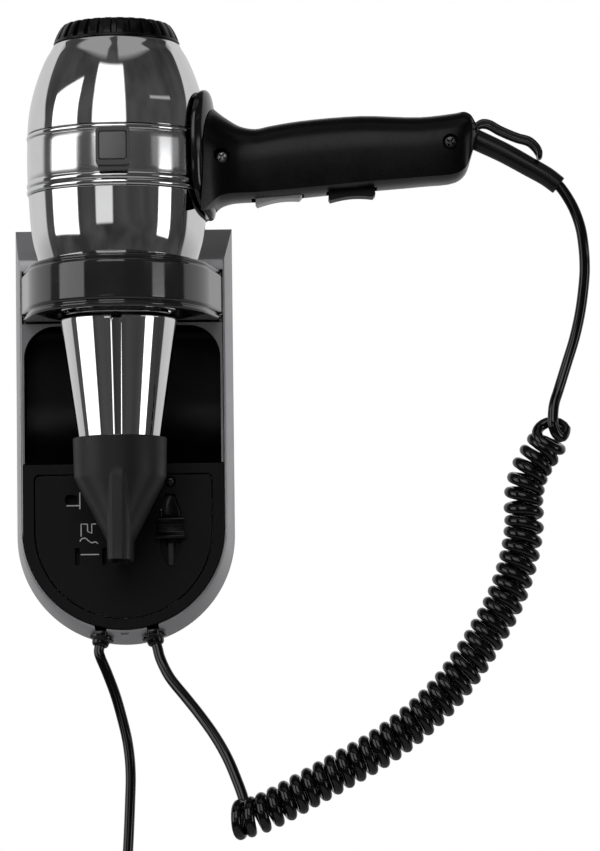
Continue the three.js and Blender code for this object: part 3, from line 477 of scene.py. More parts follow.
def shield(half_width, top, centre, corner=0, steps=96):
    """Straight sides, a half-round lower end and a level top with rounded corners, as x and z pairs."""
    outline = []
    for k in range(steps + 1):
        angle = math.pi * (1 + k / steps)
        outline.append((half_width * math.cos(angle), centre + half_width * math.sin(angle)))
    if corner == 0:
        return outline + [(half_width, top), (-half_width, top)]
    for side, first in ((1, 0), (-1, 1)):
        for k in range(9):
            angle = (first + k / 8) * math.pi / 2
            outline.append((side * (half_width - corner) + corner * math.cos(angle),
                            top - corner + corner * math.sin(angle)))
    return outline


def along(values, steps):
    """A smooth curve through pairs of numbers."""
    return [(point.x, point.y) for point in spline([(a, b, 0) for a, b in values], steps)]


def lerp(a, b, t):
    return a + (b - a) * t


def eased(t):
    """A share from 0 to 1 with a soft start and end."""
    t = min(1, max(0, t))
    return t * t * (3 - 2 * t)


def read_curve(curve, height):
    """The first number of a curve of pairs where its second one is the height."""
    for (r0, z0), (r1, z1) in zip(curve, curve[1:]):
        if min(z0, z1) <= height <= max(z0, z1) and z0 != z1:
            return lerp(r0, r1, (height - z0) / (z1 - z0))
    return min(curve, key=lambda pair: abs(pair[1] - height))[0]


# ---------- barrel ----------
BODY_OUTLINE = along([
    (29.3, 179.3), (30.5, 176.9), (32.9, 172.9), (36.8, 163.5), (39.55, 154.1), (41.2, 144.7),
    (42, 126), (41.3, 107.2), (39.7, 88.5), (36.9, 77.5), (33.4, 67.5), (30.5, 61),
], 16)
BODY_WALL = 1.5
EDGE = 0.25
PIECE_GAP = 0.3


def body_radius(height):
    return read_curve(BODY_OUTLINE, height)


def body_profile(low, high, steps, offset=0.0):
    heights = [lerp(low, high, k / steps) for k in range(steps + 1)]
    return [(body_radius(z) + offset, z) for z in heights]


def body_form(name, offset, low=90, high=170):
    """The body's solid form between two heights, for cutting other pieces to it."""
    return on_axis(name, body_profile(low, high, 40, offset), wrap=False)


def barrel_ring(name, low, high, steps):
    """A stretch of the barrel's wall with its cut edges slightly rounded."""
    outer = body_profile(low + EDGE, high - EDGE, steps)
    inner = body_profile(low, high, steps // 2, -BODY_WALL)[::-1]
    low_edge = (body_radius(low) - EDGE, low)
    high_edge = (body_radius(high) - EDGE, high)
    return on_axis(name, [low_edge, *outer, high_edge, *inner], count=192)


def add_barrel():
    low, high = extent("barrel_upper")
    upper = smooth(barrel_ring("barrel_top", low.z, high.z, 44))
    place(upper, "dryer", "chrome", CHROME, "barrel_upper")
    low, high = extent("barrel_lower")
    bottom = along([(24.6, 55.02), (26.4, 55.5), (28, 56.8), (29.3, 58.8), (30.5, 61)], 4)[:-1]
    outer = body_profile(61, high.z - EDGE, 48) + [(body_radius(high.z) - EDGE, high.z)]
    inner = body_profile(61.6, high.z, 20, -BODY_WALL)[::-1] + [(27.4, 58.6), (24, 56.6)]
    lower = smooth(on_axis("barrel_base", [(24.2, 55), *bottom, *outer, *inner], count=192))
    place(lower, "dryer", "chrome", CHROME, "barrel_lower")


# The two polished beads and the satin face between them, as radius and height.
BAND_PROFILE = [
    (41.25, 108.8), (41.75, 109.1), (42.05, 109.6), (42.18, 110.2), (42.05, 110.9), (41.72, 111.35),
    (41.55, 111.65), (41.7, 112), (42.05, 112.4), (42.22, 113.1), (42.12, 113.8), (41.85, 114.4),
    (41.55, 114.75), (41.55, 115.05), (41.78, 115.3), (41.86, 118), (41.92, 121), (41.95, 124.5),
    (41.92, 128), (41.85, 131), (41.76, 133.8), (41.5, 134.05), (41.5, 134.3), (41.78, 134.6),
    (42.08, 135), (42.2, 135.6), (42.12, 136.2), (41.85, 136.65), (41.45, 136.9),
]
SATIN_LOW = 115.1
SATIN_HIGH = 133.9
WIRE_HEIGHT = 125
WIRE_HOLE = 10
STEM_HOLE = 2.2
BUTTON_HEIGHT = 126


def wire_hole(radius):
    """The tool that cuts the wires' way from the barrel into the handle."""
    return rod("hole", radius, (20, AXIS_Y, WIRE_HEIGHT), (60, AXIS_Y, WIRE_HEIGHT), 48)


def add_band():
    inner = body_profile(BAND_LOW.z, BAND_HIGH.z, 8, -BODY_WALL)[::-1]
    band = on_axis("satin_band", BAND_PROFILE + inner, count=192)
    stem_hole = rod("hole", STEM_HOLE, (0, AXIS_Y - 60, BUTTON_HEIGHT), (0, AXIS_Y - 20, BUTTON_HEIGHT))
    smooth(carve(band, wire_hole(WIRE_HOLE), stem_hole), 50)
    place(band, "dryer", "satin_chrome", SATIN, "barrel_band")
    band.data.materials.append(BEAD_CHROME)
    for face in band.data.polygons:
        face.material_index = 0 if SATIN_LOW < face.center.z / MM < SATIN_HIGH else 1


NOSE_RIB = 1.9
NOSE_RIB_HEIGHT = 0.45


def nose_relief(angle, z):
    """A shallow rib down the front of the nose cone."""
    across = abs(math.cos(angle)) * 22
    if math.sin(angle) > 0 or z > 49.9 or z < -19.5:
        return 0
    return NOSE_RIB_HEIGHT * eased((NOSE_RIB + 0.35 - across) / 0.7)


def add_nose():
    low, high = extent("nose_cone")
    shoulder = [(27.1, 50), (27.05, 51.2), (26.7, 52.3), (25.9, 53.2), (24.6, 53.8), (22.6, 53.9)]
    side = [(lerp(17.3, 27.1, k / 24), lerp(low.z + 0.2, 50, k / 24)) for k in (*range(24), 23.8)]
    inside = [(22.6, high.z), (21.2, high.z), (21.2, 53), (25.3, 48.4), (15.8, low.z), (17.1, low.z)]
    cone = on_axis("nose_shell", side + shoulder + inside, count=360, relief=nose_relief)
    place(smooth(cone, 40), "dryer", "chrome", CHROME, "nose_cone")


def joined(name, pieces):
    """Several closed pieces in one mesh."""
    work = bmesh.new()
    for piece in pieces:
        work.from_mesh(piece.data)
        bpy.data.objects.remove(piece)
    mesh = bpy.data.meshes.new(name)
    work.to_mesh(mesh)
    work.free()
    return linked(name, mesh)


def chord_wires(radius, reach, places, z, turned, sides):
    """Straight wires across a round opening, at those distances from its middle."""
    wires = []
    for aside in places:
        half = math.sqrt(reach ** 2 - aside ** 2)
        ends = [(aside, -half), (aside, half)] if turned else [(-half, aside), (half, aside)]
        start, end = [(x, AXIS_Y + y, z) for x, y in ends]
        wires.append(rod("wire", radius, start, end, sides))
    return wires


def add_grilles():
    low, high = extent("outlet_grille")
    ring = [(13.4, low.z), (15.6, low.z), (15.9, low.z + 0.3), (15.9, high.z), (13.4, high.z)]
    wires = chord_wires(0.5, 14.4, range(-12, 13, 3), -16, False, 10)
    wires += chord_wires(0.5, 14.4, range(-7, 8, 7), -15.3, True, 10)
    guard = joined("outlet_guard", [on_axis("ring", ring), *wires])
    place(smooth(guard), "dryer", "steel", STEEL, "outlet_grille")
    low, high = extent("intake_filter")
    middle = (low.z + high.z) / 2
    ring = [(27.6, low.z), (30, low.z), (30, low.z + 0.8), (29.3, high.z), (27.6, high.z)]
    wires = chord_wires(0.22, 28, range(-26, 27, 2), middle, False, 6)
    wires += chord_wires(0.22, 28, range(-26, 27, 2), middle + 0.3, True, 6)
    mesh = joined("intake_mesh", [on_axis("ring", ring), *wires])
    place(smooth(mesh), "dryer", "steel", STEEL, "intake_filter")


CAP_RIBS = 28
CAP_AROUND = CAP_RIBS * 12
CAP_RIB_HALF = 0.34
CAP_RIB_EDGE = 0.1
# Every second air slot reaches less far in.
CAP_SLOTS = 24
# The cap's inside and foot, and the groove in its top, as radius and height.
CAP_INSIDE = [
    (16, 187.2), (21, 187.2), (22.6, 186.7), (23.4, 186), (24.4, 184), (24.8, 182.4), (25.6, 175.4),
    (27.1, 175.4), (27.4, 175.8), (27.4, 179.6), (29.1, 179.6), (29.3, 179.8), (29.3, 180.5), (29.1, 180.8),
]
CAP_GROOVE = [(21.2, 188.8), (20.9, 188.5), (20.2, 188.5), (19.9, 188.8)]
# Rib crowns, the grooves between them, and height.
CAP_ROWS = [
    (29.0, 29.0, 180.8), (29.0, 26.6, 181.2), (28.5, 26.3, 182.6), (27.9, 26, 184), (27.2, 25.5, 185.4),
    (26.5, 25, 186.6), (25.8, 24.4, 187.6), (25.15, 23.9, 188.3), (24.5, 23.5, 188.7), (23.8, 23.2, 188.8),
    (22.2, 22.2, 188.8),
]


def rib_row(crown, groove, z):
    """A loop round the cap that steps out to a rib's crown and in to the groove beside it."""
    def reach(angle):
        aside = abs(angle / math.tau * CAP_RIBS % 1 - 0.5)
        return lerp(groove, crown, eased((CAP_RIB_HALF - aside) / CAP_RIB_EDGE))

    return polar_row(reach, z, turns(CAP_AROUND), (0, AXIS_Y))


def add_cap():
    rings = [rib_row(r, r, z) for r, z in CAP_INSIDE]
    rings += [rib_row(*row) for row in CAP_ROWS]
    rings += [rib_row(r, r, z) for r, z in CAP_GROOVE]
    cap = skin("ribbed_cap", rings)
    cutters = []
    for k in range(CAP_SLOTS):
        slot = block("slot", (7.5 if k % 2 else 11, 18.6), (-0.75, 0.75), (185, 190))
        turn = Matrix.Translation((0, AXIS_Y, 0)) @ Matrix.Rotation(math.tau * k / CAP_SLOTS, 4, "Z")
        cutters.append(move(slot, turn))
    carve(cap, joined("slots", cutters))
    place(smooth(cap, 40), "cap", "gloss_black", CAP_BLACK, "rear_cap")


def facing_front(outline, near, far):
    """A slab on the dryer's front: the depths are distances in front of the dryer's axis."""
    return slab("slab", outline, near - AXIS_Y, far - AXIS_Y)


def add_button():
    low, high = extent("button_housing")
    frame_low = low.z + 2.1
    frame_block = facing_front(rounded(low.x, high.x, frame_low, high.z, 1.7), 38, 46.5)
    foot = facing_front(rounded(low.x + 0.9, high.x - 0.9, low.z, frame_low + 2, 0.7), 38, 45.2)
    housing = fuse(frame_block, foot)
    housing.name = "button_frame"
    carve(housing, facing_front(rounded(-6.4, 6.4, 119.4, 132.6, 1.1), 40, 50))
    carve(housing, on_axis("barrel", [(42.5, 100), (42.5, 140)], wrap=False, count=192))
    soften(housing, 0.45, 3, 40)
    place(housing, "dryer", "gloss_black", FRAME_GREY, "button_housing")
    low, high = extent("cool_button")
    cap = facing_front(rounded(low.x, high.x, low.z, high.z, 0.9), 44.5, 46.8)
    soften(cap, 0.4, 3, 40)
    stem = rod("stem", 1.7, (0, AXIS_Y - 44.6, BUTTON_HEIGHT), (0, AXIS_Y - 38.6, BUTTON_HEIGHT), 24)
    button = joined("cool_shot_button", [cap, stem])
    place(smooth(button, 40), "cool_button", "matt_grey", BUTTON_GREY, "cool_button")


add_barrel()
add_band()
add_nose()
add_grilles()
add_cap()
add_button()


# ---------- handle ----------
SADDLE_CENTRE = 127.45
SADDLE_HALF = 29.95
SADDLE_DEPTH = 26.3
SADDLE_POWER = 2.8
SADDLE_OFFSET = 4.6
# The collar's rows, from the middle of its face to the middle of its back: share of the outline, and
# distance outside the barrel.
SADDLE_ROWS = [
    (0.02, 4.6), (0.3, 4.6), (0.6, 4.6), (0.85, 4.6), (0.92, 4.5), (0.96, 4.25), (0.985, 3.8), (1, 3.1),
    (1.0, 2.2), (0.99, 1.5), (0.97, 1.15), (0.9, 1.05), (0.5, 1.05), (0.02, 1.05),
]


def squared(part):
    """Fills an oval out towards its corners."""
    return math.copysign(abs(part) ** (2 / SADDLE_POWER), part)


def add_collar():
    rows = []
    for share, offset in SADDLE_ROWS:
        row = []
        for angle in turns(96):
            y = SADDLE_DEPTH * share * squared(math.cos(angle))
            z = SADDLE_CENTRE + SADDLE_HALF * share * squared(math.sin(angle))
            row.append((math.sqrt((body_radius(z) + offset) ** 2 - y ** 2), AXIS_Y + y, z))
        rows.append(row)
    collar = skin("collar", rows)
    carve(collar, wire_hole(9.5))
    place(smooth(collar, 45), "dryer", "gloss_black", GLOSS_BLACK, "saddle_collar")


# Distance from the dryer's axis, underside, top and half depth.
HANDLE_SECTIONS = [
    (38, 94.5, 158.5, 25), (41.4, 97.2, 153.6, 23), (44.2, 100.2, 149.8, 21.2), (47.8, 103.6, 146.5, 19.6),
    (52.5, 105.2, 143.2, 18.2), (57.1, 105.7, 140.6, 17.4), (64, 106, 139.3, 17), (71, 106.5, 140.6, 17),
    (85, 107.6, 142.8, 17), (113, 110.1, 144.8, 17), (141, 112.3, 143.9, 16.8), (157, 114, 145.6, 15.5),
    (161.5, 117.4, 146.3, 14.2), (164.2, 124.6, 145, 12.2), (166, 130.5, 142.2, 9), (167.4, 134, 139.6, 5),
]
HANDLE_WALL = 2.2
UPPER_POWER = 2.4
CREASE_HEIGHT = 2
CREASE_SHARE = 0.97


def handle_row(x, low, high, depth, inset=0.0):
    """One section of the grip: round above, with a crease between its front and its shallow underside."""
    low, high, depth = low + inset, high - inset, depth - inset
    middle = lerp(low, high, 0.5)
    crease = low + CREASE_HEIGHT * (high - low) / 36
    points = []
    for k in range(33):
        angle = math.pi * k / 32
        across, up = math.cos(angle), math.sin(angle)
        y = depth * math.copysign(abs(across) ** (2 / UPPER_POWER), across)
        points.append((y, middle + (high - middle) * up ** (2 / UPPER_POWER)))
    side = []
    for k in range(1, 11):
        t = k / 10
        side.append((depth * lerp(1, CREASE_SHARE, t ** 2.4), lerp(middle, crease, t)))
    under = []
    for k in range(1, 20):
        u = lerp(-1, 1, k / 20)
        under.append((depth * CREASE_SHARE * u, low + (crease - low) * abs(u) ** 2.2))
    points += [(-y, z) for y, z in side] + under + side[:0:-1]
    points.append(side[0])
    return [(x, AXIS_Y + y, z) for y, z in points]


def handle_sections(steps):
    """The sections with more between them, on smooth curves."""
    curves = [spline([(row[0], row[k], 0) for row in HANDLE_SECTIONS], steps) for k in (1, 2, 3)]

    def value(curve, x):
        for a, b in zip(curve, curve[1:]):
            if a.x <= x <= b.x:
                return lerp(a.y, b.y, (x - a.x) / max(b.x - a.x, 1e-6))
        return curve[-1].y

    return [(place_in.x, *(value(curve, place_in.x) for curve in curves)) for place_in in curves[0]]


PLATE_SCREW = (22.1, -22.4)
SCREW_PLACES = {"handle_screw_neck": (48.8, 124.9), "handle_screw_end": (154.3, 130.4)}
SCREW_SEAT = 12.3
SCREW_WELL = 3.7
SCREW_POST = 5.4
SCREW_HOLE = 1.8
ROCKERS = {
    "rocker_light": {"left": 63.9, "right": 85.6, "low_left": 103.2, "low_right": 106, "gap_left": 1.8},
    "rocker_dark": {"left": 97.7, "right": 119.6, "low_left": 105, "low_right": 106.5, "gap_left": 0.8},
}
ROCKER_GAP = 0.8
ROCKER_HALF_DEPTH = 5.7
ROCKER_DISH = 1.15
# The hanging loop's legs lie in two slots, and its ends turn in a bore across them.
LOOP_LEG = 7.4
LOOP_SLOT = 1.8
LOOP_PIVOT = (164.6, 138)


# Each rocker's body, slot and material.
ROCKER_FINISHES = {
    "rocker_light": ("light_rocker", "light_grey", ROCKER_GREY),
    "rocker_dark": ("dark_rocker", "matt_black", ROCKER_BLACK),
}


def across_rod(radius, x, z, near, far, sides=32):
    return rod("rod", radius, (x, AXIS_Y + near, z), (x, AXIS_Y + far, z), sides)


def handle_solid():
    """The whole grip, hollow, with screw posts."""
    grip = skin("grip", [handle_row(*section) for section in handle_sections(4)])
    inner = [section for section in handle_sections(2) if section[0] < 158]
    cavity = skin("cavity", [handle_row(*section, inset=HANDLE_WALL) for section in inner])
    posts = []
    for x, z in SCREW_PLACES.values():
        form = skin("grip_form", [handle_row(*section, inset=0.4) for section in inner])
        posts.append(carve(across_rod(SCREW_POST, x, z, -30, 30), form, operation="INTERSECT"))
    carve(grip, cavity)
    fuse(grip, *posts)
    return carve(grip, body_form("barrel_form", SADDLE_OFFSET + PIECE_GAP))


def handle_cutters():
    cutters = []
    for rocker in ROCKERS.values():
        x = (rocker["left"] - rocker["gap_left"], rocker["right"] + ROCKER_GAP)
        cutters.append(block("opening", x, (AXIS_Y - 6.3, AXIS_Y + 6.3), (95, 113)))
    path = spline([(150, AXIS_Y, 141.9), (160.5, AXIS_Y, 136.6), (172, AXIS_Y, 130.9)], 4)
    cutters.append(tube("sleeve_bore", path, 5.5, 40))
    for side in (-LOOP_LEG, LOOP_LEG):
        middle = AXIS_Y + side
        cutters.append(block("slot", (159.8, 172), (middle - LOOP_SLOT, middle + LOOP_SLOT), (135.4, 152)))
    cutters.append(across_rod(LOOP_SLOT, *LOOP_PIVOT, -11.2, 11.2))
    for x, z in SCREW_PLACES.values():
        cutters.append(across_rod(SCREW_WELL, x, z, -40, -SCREW_SEAT + 0.3, 40))
        cutters.append(across_rod(SCREW_HOLE, x, z, -40, 11))
    return cutters


def add_handle():
    solid = handle_solid()
    carve(solid, *handle_cutters())
    rear = solid.copy()
    rear.data = solid.data.copy()
    bpy.context.scene.collection.objects.link(rear)
    seam = PIECE_GAP / 2
    carve(solid, block("side", (30, 180), (AXIS_Y - seam, AXIS_Y + 40), (90, 165)))
    carve(rear, block("side", (30, 180), (AXIS_Y - 40, AXIS_Y + seam), (90, 165)))
    solid.name = "grip_front"
    rear.name = "grip_rear"
    place(smooth(solid, 30), "dryer", "gloss_black", GRIP_BLACK, "handle_front")
    place(smooth(rear, 30), "dryer", "gloss_black", GRIP_BLACK, "handle_rear")


def cross_screw(name, radius, height, shank, length, recess):
    """A pan-head screw with a cross recess, pointing along +Z."""
    head = [(shank, -length), (shank, -0.01), (radius - 0.1, -0.01), (radius, 0.1), (radius, height * 0.45),
            (radius * 0.94, height * 0.72), (radius * 0.78, height * 0.92), (radius * 0.5, height)]
    screw = revolve(name, head, wrap=False, count=48)
    for quarter in (0, 1):
        tool = skin("recess", [
            [(x, y, z) for x, y in ((-reach, -half), (reach, -half), (reach, half), (-reach, half))]
            for reach, half, z in ((recess * 0.35, 0.22, height * 0.1), (recess, 0.42, height + 0.1))])
        move(tool, Matrix.Rotation(math.pi / 4 + quarter * math.pi / 2 + 0.2, 4, "Z"))
        carve(screw, tool)
    return screw


def toward_front(x, depth, z):
    """Turns a piece made along +Z to point away from the wall at a place."""
    return Matrix.Translation((x, -depth, z)) @ Matrix.Rotation(math.pi / 2, 4, "X")


def add_screws():
    for node, (x, z) in SCREW_PLACES.items():
        screw = cross_screw(node + "_head", 3.3, 2, 1.4, 20, 2.3)
        move(screw, toward_front(x, SCREW_SEAT - AXIS_Y, z))
        # The end screw's head gets the darker steel: painted shade that stands in for the shade of a deep
        # well, where the neck screw's head gets the lighter steel.
        steel_tone = SCREW_STEEL if node == "handle_screw_neck" else DARK_STEEL
        place(smooth(screw, 30), "dryer", "steel", steel_tone, node)
    screw = cross_screw("plate_screw_head", 2.1, 1.3, 0.9, 8, 1.4)
    x, z = PLATE_SCREW
    move(screw, toward_front(x, 24.9, z))
    place(smooth(screw, 30), "holder", "steel", DARK_STEEL, "plate_screw")


def add_rockers():
    for node, rocker in ROCKERS.items():
        left, right = rocker["left"], rocker["right"]
        middle = (left + right) / 2
        low_left, low_right = rocker["low_left"], rocker["low_right"]
        under = []
        for k in range(17):
            t = k / 16
            x = lerp(left + 0.8, right - 1.3, t)
            under.append((x, lerp(low_left, low_right, t) + ROCKER_DISH * math.sin(math.pi * t) ** 0.9))
        outline = [(left, low_left + 1.1), *under, (right, low_right + 1.5), (right - 0.4, 110.4),
                   (middle, 112.4), (left + 0.4, 110.4)]
        piece = slab(node + "_cap", outline, -AXIS_Y - ROCKER_HALF_DEPTH, -AXIS_Y + ROCKER_HALF_DEPTH)
        soften(piece, 0.35, 3, 40)
        place(piece, *ROCKER_FINISHES[node], node)


SLEEVE_PATH = [(160.5, 136.5), (167.9, 132.9), (179.9, 127), (190.7, 120.8), (199.5, 115.6), (204.6, 111.6)]
SLEEVE_START = 5
SLEEVE_END = 4.4
SLEEVE_LIP = 4.1
CORD_BORE = 2.75


def add_sleeve():
    line = spline([(x, AXIS_Y, z) for x, z in SLEEVE_PATH], 8)
    ahead = (line[-1] - line[-2]).normalized() * 0.3
    outer = tube_rows(line, lambda t: lerp(SLEEVE_START, SLEEVE_END, t), 40)
    bore = tube_rows(line, CORD_BORE, 40)
    mouth = [[point + ahead for point in row] for row in (tube_rows(line, SLEEVE_LIP, 40)[-1], bore[-1])]
    sleeve = skin("bend_sleeve", [*outer, *mouth, *bore[::-1]], wrap=True)
    place(smooth(sleeve, 40), "dryer", "rubber", RUBBER, "cord_sleeve")


LOOP_HALF = [
    (164.6, 10.9, 138), (164.7, 8.9, 138), (166.2, 7.4, 138.9), (169.3, 7.4, 140.7), (172.6, 7.4, 140.4),
    (178, 7.4, 137.4), (185.8, 7.4, 134), (191.4, 7.4, 132.2), (194.6, 7.4, 129.2), (195.9, 6.8, 126.8),
    (196.1, 4.6, 125.3),
]
LOOP_WIRE = 1.2


def add_loop():
    half = [(x, AXIS_Y + y, z) for x, y, z in LOOP_HALF]
    other = [(x, AXIS_Y - y, z) for x, y, z in LOOP_HALF[::-1]]
    loop = tube("hanging_loop", spline(half + other, 6), LOOP_WIRE, 16)
    place(smooth(loop, 60), "hang_loop", "matt_black", LOOP_BLACK, "hang_loop")


# ---------- concentrator ----------
NOZZLE_WALL = 1.6
NOZZLE_STEP = 0.7
# The inside of the round socket, as radius and height.
NOZZLE_SOCKET = [(18, -21.5), (18.2, -19.6), (20.3, -3.6)]
# Height, then the cone's half width, half depth and squareness, then the blade's half width and depth.
NOZZLE_ROWS = [
    (-3.6, 21.8, 21.8, 2, 4.4, 17.8), (-12, 21.6, 21.6, 2, 4.6, 18.9), (-18, 21.45, 21.45, 2, 5.4, 21.2),
    (-22, 21.3, 21.3, 2, 5.75, 22.0), (-28, 18.4, 21.3, 2.05, 5.85, 22.5),
    (-52.2, 5.9, 21.4, 2.3, 5.85, 24.3), (-60.5, 5.6, 21.6, 2.4, 5.6, 25),
]
BLADE_POWER = 4
BLADE_BLEND = 0.35


def oval_reach(half_x, half_y, power, angle):
    across = abs(math.cos(angle)) / half_x
    along_y = abs(math.sin(angle)) / half_y
    return (across ** power + along_y ** power) ** (-1 / power)


def soft_max(a, b, width):
    near = max(width - abs(a - b), 0) / width
    return max(a, b) + near * near * width / 4


def nozzle_size(z):
    """The cone's and the blade's measures at a height."""
    z = min(NOZZLE_ROWS[0][0], max(NOZZLE_ROWS[-1][0], z))
    for a, b in zip(NOZZLE_ROWS, NOZZLE_ROWS[1:]):
        if b[0] <= z:
            t = (a[0] - z) / (a[0] - b[0])
            return [lerp(p, q, t) for p, q in zip(a, b)][1:]
    return NOZZLE_ROWS[-1][1:]


# More points lie at the front and back, where the blade is narrow.
NOZZLE_ANGLES = [math.atan2(2.2 * math.sin(a), math.cos(a)) for a in turns(192)]


def nozzle_row(z, inset):
    cone_x, cone_y, power, blade_x, blade_y = nozzle_size(z)

    def reach(angle):
        cone = oval_reach(cone_x - inset, cone_y - inset, power, angle)
        blade = oval_reach(blade_x - inset, blade_y - inset, BLADE_POWER, angle)
        return soft_max(cone, blade, BLADE_BLEND)

    return polar_row(reach, z, NOZZLE_ANGLES, (0, AXIS_Y))


def add_concentrator():
    low, high = extent("concentrator")
    count = int((high.z - low.z) / NOZZLE_STEP)
    heights = [high.z - NOZZLE_STEP / 2 - k * NOZZLE_STEP for k in range(count)] + [low.z + 0.3]
    # The first and last rows are drawn in, which rounds off the edges.
    outer = [nozzle_row(high.z, 0.3)] + [nozzle_row(z, 0) for z in heights] + [nozzle_row(low.z, 0.3)]
    inner = [nozzle_row(low.z, NOZZLE_WALL - 0.2)]
    inner += [nozzle_row(z, NOZZLE_WALL) for z in (-58, -52, -44, -36, -28.5, -24)]
    inner += [polar_row(lambda a: radius, z, NOZZLE_ANGLES, (0, AXIS_Y)) for radius, z in NOZZLE_SOCKET]
    nozzle = skin("air_concentrator", outer + inner, wrap=True)
    place(smooth(nozzle, 40), "nozzle", "matt_grey", NOZZLE_GREY, "concentrator")


add_collar()
add_handle()
add_screws()
add_rockers()
add_sleeve()
add_loop()
add_concentrator()


# ---------- cords ----------
CORD_RADIUS = 2.5
HANDSET_UPPER = [
    (203, -55, 113.2), (205.6, -55, 110.7), (211, -55, 101.9), (214.5, -55, 92), (215.9, -55, 82.1),
    (216.2, -55, 72.2), (215.6, -55, 64.8), (213.8, -55, 52.5), (210.9, -55, 40.2), (206.9, -55.5, 27.9),
    (202.8, -57, 15.5), (200.7, -59, 9.3), (199.9, -60.5, 3), (199.9, -61.2, -3.2),
]
CURL_CENTRE = [
    (199.8, -57.6, -3.6), (199.2, -53.6, -5.6), (196.6, -51.6, -9.6), (192.6, -51.8, -15.4),
    (188.8, -52, -22.5), (186.3, -52, -33), (186.3, -52, -46), (183.7, -52, -61), (177.4, -52, -79.5),
    (168.4, -52, -96), (157, -52, -113), (146, -52, -126), (133, -52, -137.5), (119, -52, -147.5),
    (101, -52, -157.6), (84, -52, -166.8), (70, -52, -174.2), (60.5, -51.2, -178.2), (49.6, -49.5, -180.6),
]
HANDSET_LOWER = [
    (55.6, -45.6, -173.3), (54.9, -45, -169.8), (52.1, -43, -161.9), (47.8, -40, -151.7),
    (41.9, -35, -141.4), (34.5, -29, -131.1), (28.5, -24, -123.6), (20.8, -18.7, -114), (17.4, -16, -107.7),
    (15.8, -15, -103.6), (15.1, -14.2, -100.7), (14, -13.4, -96.5),
]
CURL_RADIUS = 6.85
CURL_TURNS = 41.5
CURL_STEPS = 20
CURL_START = math.radians(60)
CURL_SWING = 6
CURL_SWING_SHARE = 0.55 / 41
OUTWARD = Vector((0, -1, 0))


def along_line(line, count):
    """Places and directions at equal distances along a line."""
    lengths = [0.0]
    for a, b in zip(line, line[1:]):
        lengths.append(lengths[-1] + (b - a).length)
    found = []
    i = 0
    for k in range(count + 1):
        wanted = lengths[-1] * k / count
        while i < len(line) - 2 and lengths[i + 1] < wanted:
            i += 1
        share = (wanted - lengths[i]) / (lengths[i + 1] - lengths[i])
        found.append((line[i].lerp(line[i + 1], share), (line[i + 1] - line[i]).normalized()))
    return found


def curl_line():
    """The helix of the curly stretch. It starts in front of its centre line and ends behind it."""
    count = int(CURL_TURNS * CURL_STEPS)
    line = []
    for k, (centre, along) in enumerate(along_line(spline(CURL_CENTRE, 12), count)):
        share = k / count
        angle = CURL_START - math.tau * CURL_TURNS * share
        below = OUTWARD.cross(along).normalized()
        front = along.cross(below).normalized()
        # The last half turn swings back to the right, up into the lower lead.
        swing = max(0, 1 - (1 - share) / CURL_SWING_SHARE)
        aside = Vector((CURL_SWING * swing ** 2, 0, 0))
        line.append(centre + aside + (below * math.cos(angle) + front * math.sin(angle)) * CURL_RADIUS)
    return line


def relax(line, middle, reach=5, rounds=8):
    """Rounds off a line round one of its points."""
    for i in list(range(middle - reach, middle + reach)) * rounds:
        line[i] = line[i].lerp((line[i - 1] + line[i + 1]) / 2, 0.5)


def handset_line():
    upper = spline(HANDSET_UPPER, 8)[:-1]
    line = upper + curl_line()
    turn = len(line)
    line += spline(HANDSET_LOWER, 8)
    relax(line, len(upper))
    relax(line, turn)
    return line


MAINS_STRAIGHT = [
    (-11.9, -13.4, -97.2), (-12.7, -14.2, -101.3), (-12, -14.5, -104), (-9.3, -13.9, -110.5),
    (-5.2, -13.3, -121.7), (-2.3, -13, -132.1), (0.1, -13, -142.5), (1.3, -13, -151.4), (1.7, -13, -160.2),
    (1.3, -13, -172.1), (0.6, -13, -186.8), (0, -13, -196.9),
]
COIL_LOW, COIL_HIGH = extent("mains_coil")
PLUG_LOW, PLUG_HIGH = extent("plug_body")
COIL_CENTRE = (COIL_LOW + COIL_HIGH) / 2
COIL_BUNDLE = (COIL_HIGH.y - COIL_LOW.y) / 2
COIL_MEAN = (COIL_HIGH.x - COIL_LOW.x) / 2 - COIL_BUNDLE
COIL_STEPS = 28
# The share of a turn in which the lead crosses from one turn's place to the next.
COIL_STEP_OVER = 0.25
# Each turn's place in the bundle, as an angle round the first turn, which lies in the middle.
COIL_LAYERS = [None, 60, 120, 180, 240, 300, 0]
# Where the lead joins the coil, as an angle round it, and the radius of its bend into it.
ENTRY = math.radians(115)
ENTRY_BEND = 20


def coil_offset(turn):
    """How far out and how far back a turn lies from the middle of the bundle."""
    if turn >= len(COIL_LAYERS):
        return Vector((2 * CORD_RADIUS, -CORD_RADIUS))
    layer = COIL_LAYERS[turn]
    if layer is None:
        return Vector((0, 0))
    angle = math.radians(layer)
    return Vector((math.cos(angle), math.sin(angle))) * 2 * CORD_RADIUS


def coil_line():
    """The stored turns of the mains lead, anticlockwise from its way in to the left side."""
    span = len(COIL_LAYERS) + (math.pi - ENTRY) / math.tau
    count = int(span * COIL_STEPS)
    line = []
    for k in range(count + 1):
        wound = span * k / count
        whole = int(wound)
        before = coil_offset(max(0, whole - 1))
        out, back = before.lerp(coil_offset(whole), eased((wound - whole) / COIL_STEP_OVER))
        angle = ENTRY + math.tau * wound
        reach = COIL_MEAN + out
        line.append(Vector((COIL_CENTRE.x + reach * math.cos(angle), COIL_CENTRE.y + back,
                            COIL_CENTRE.z + reach * math.sin(angle))))
    return line


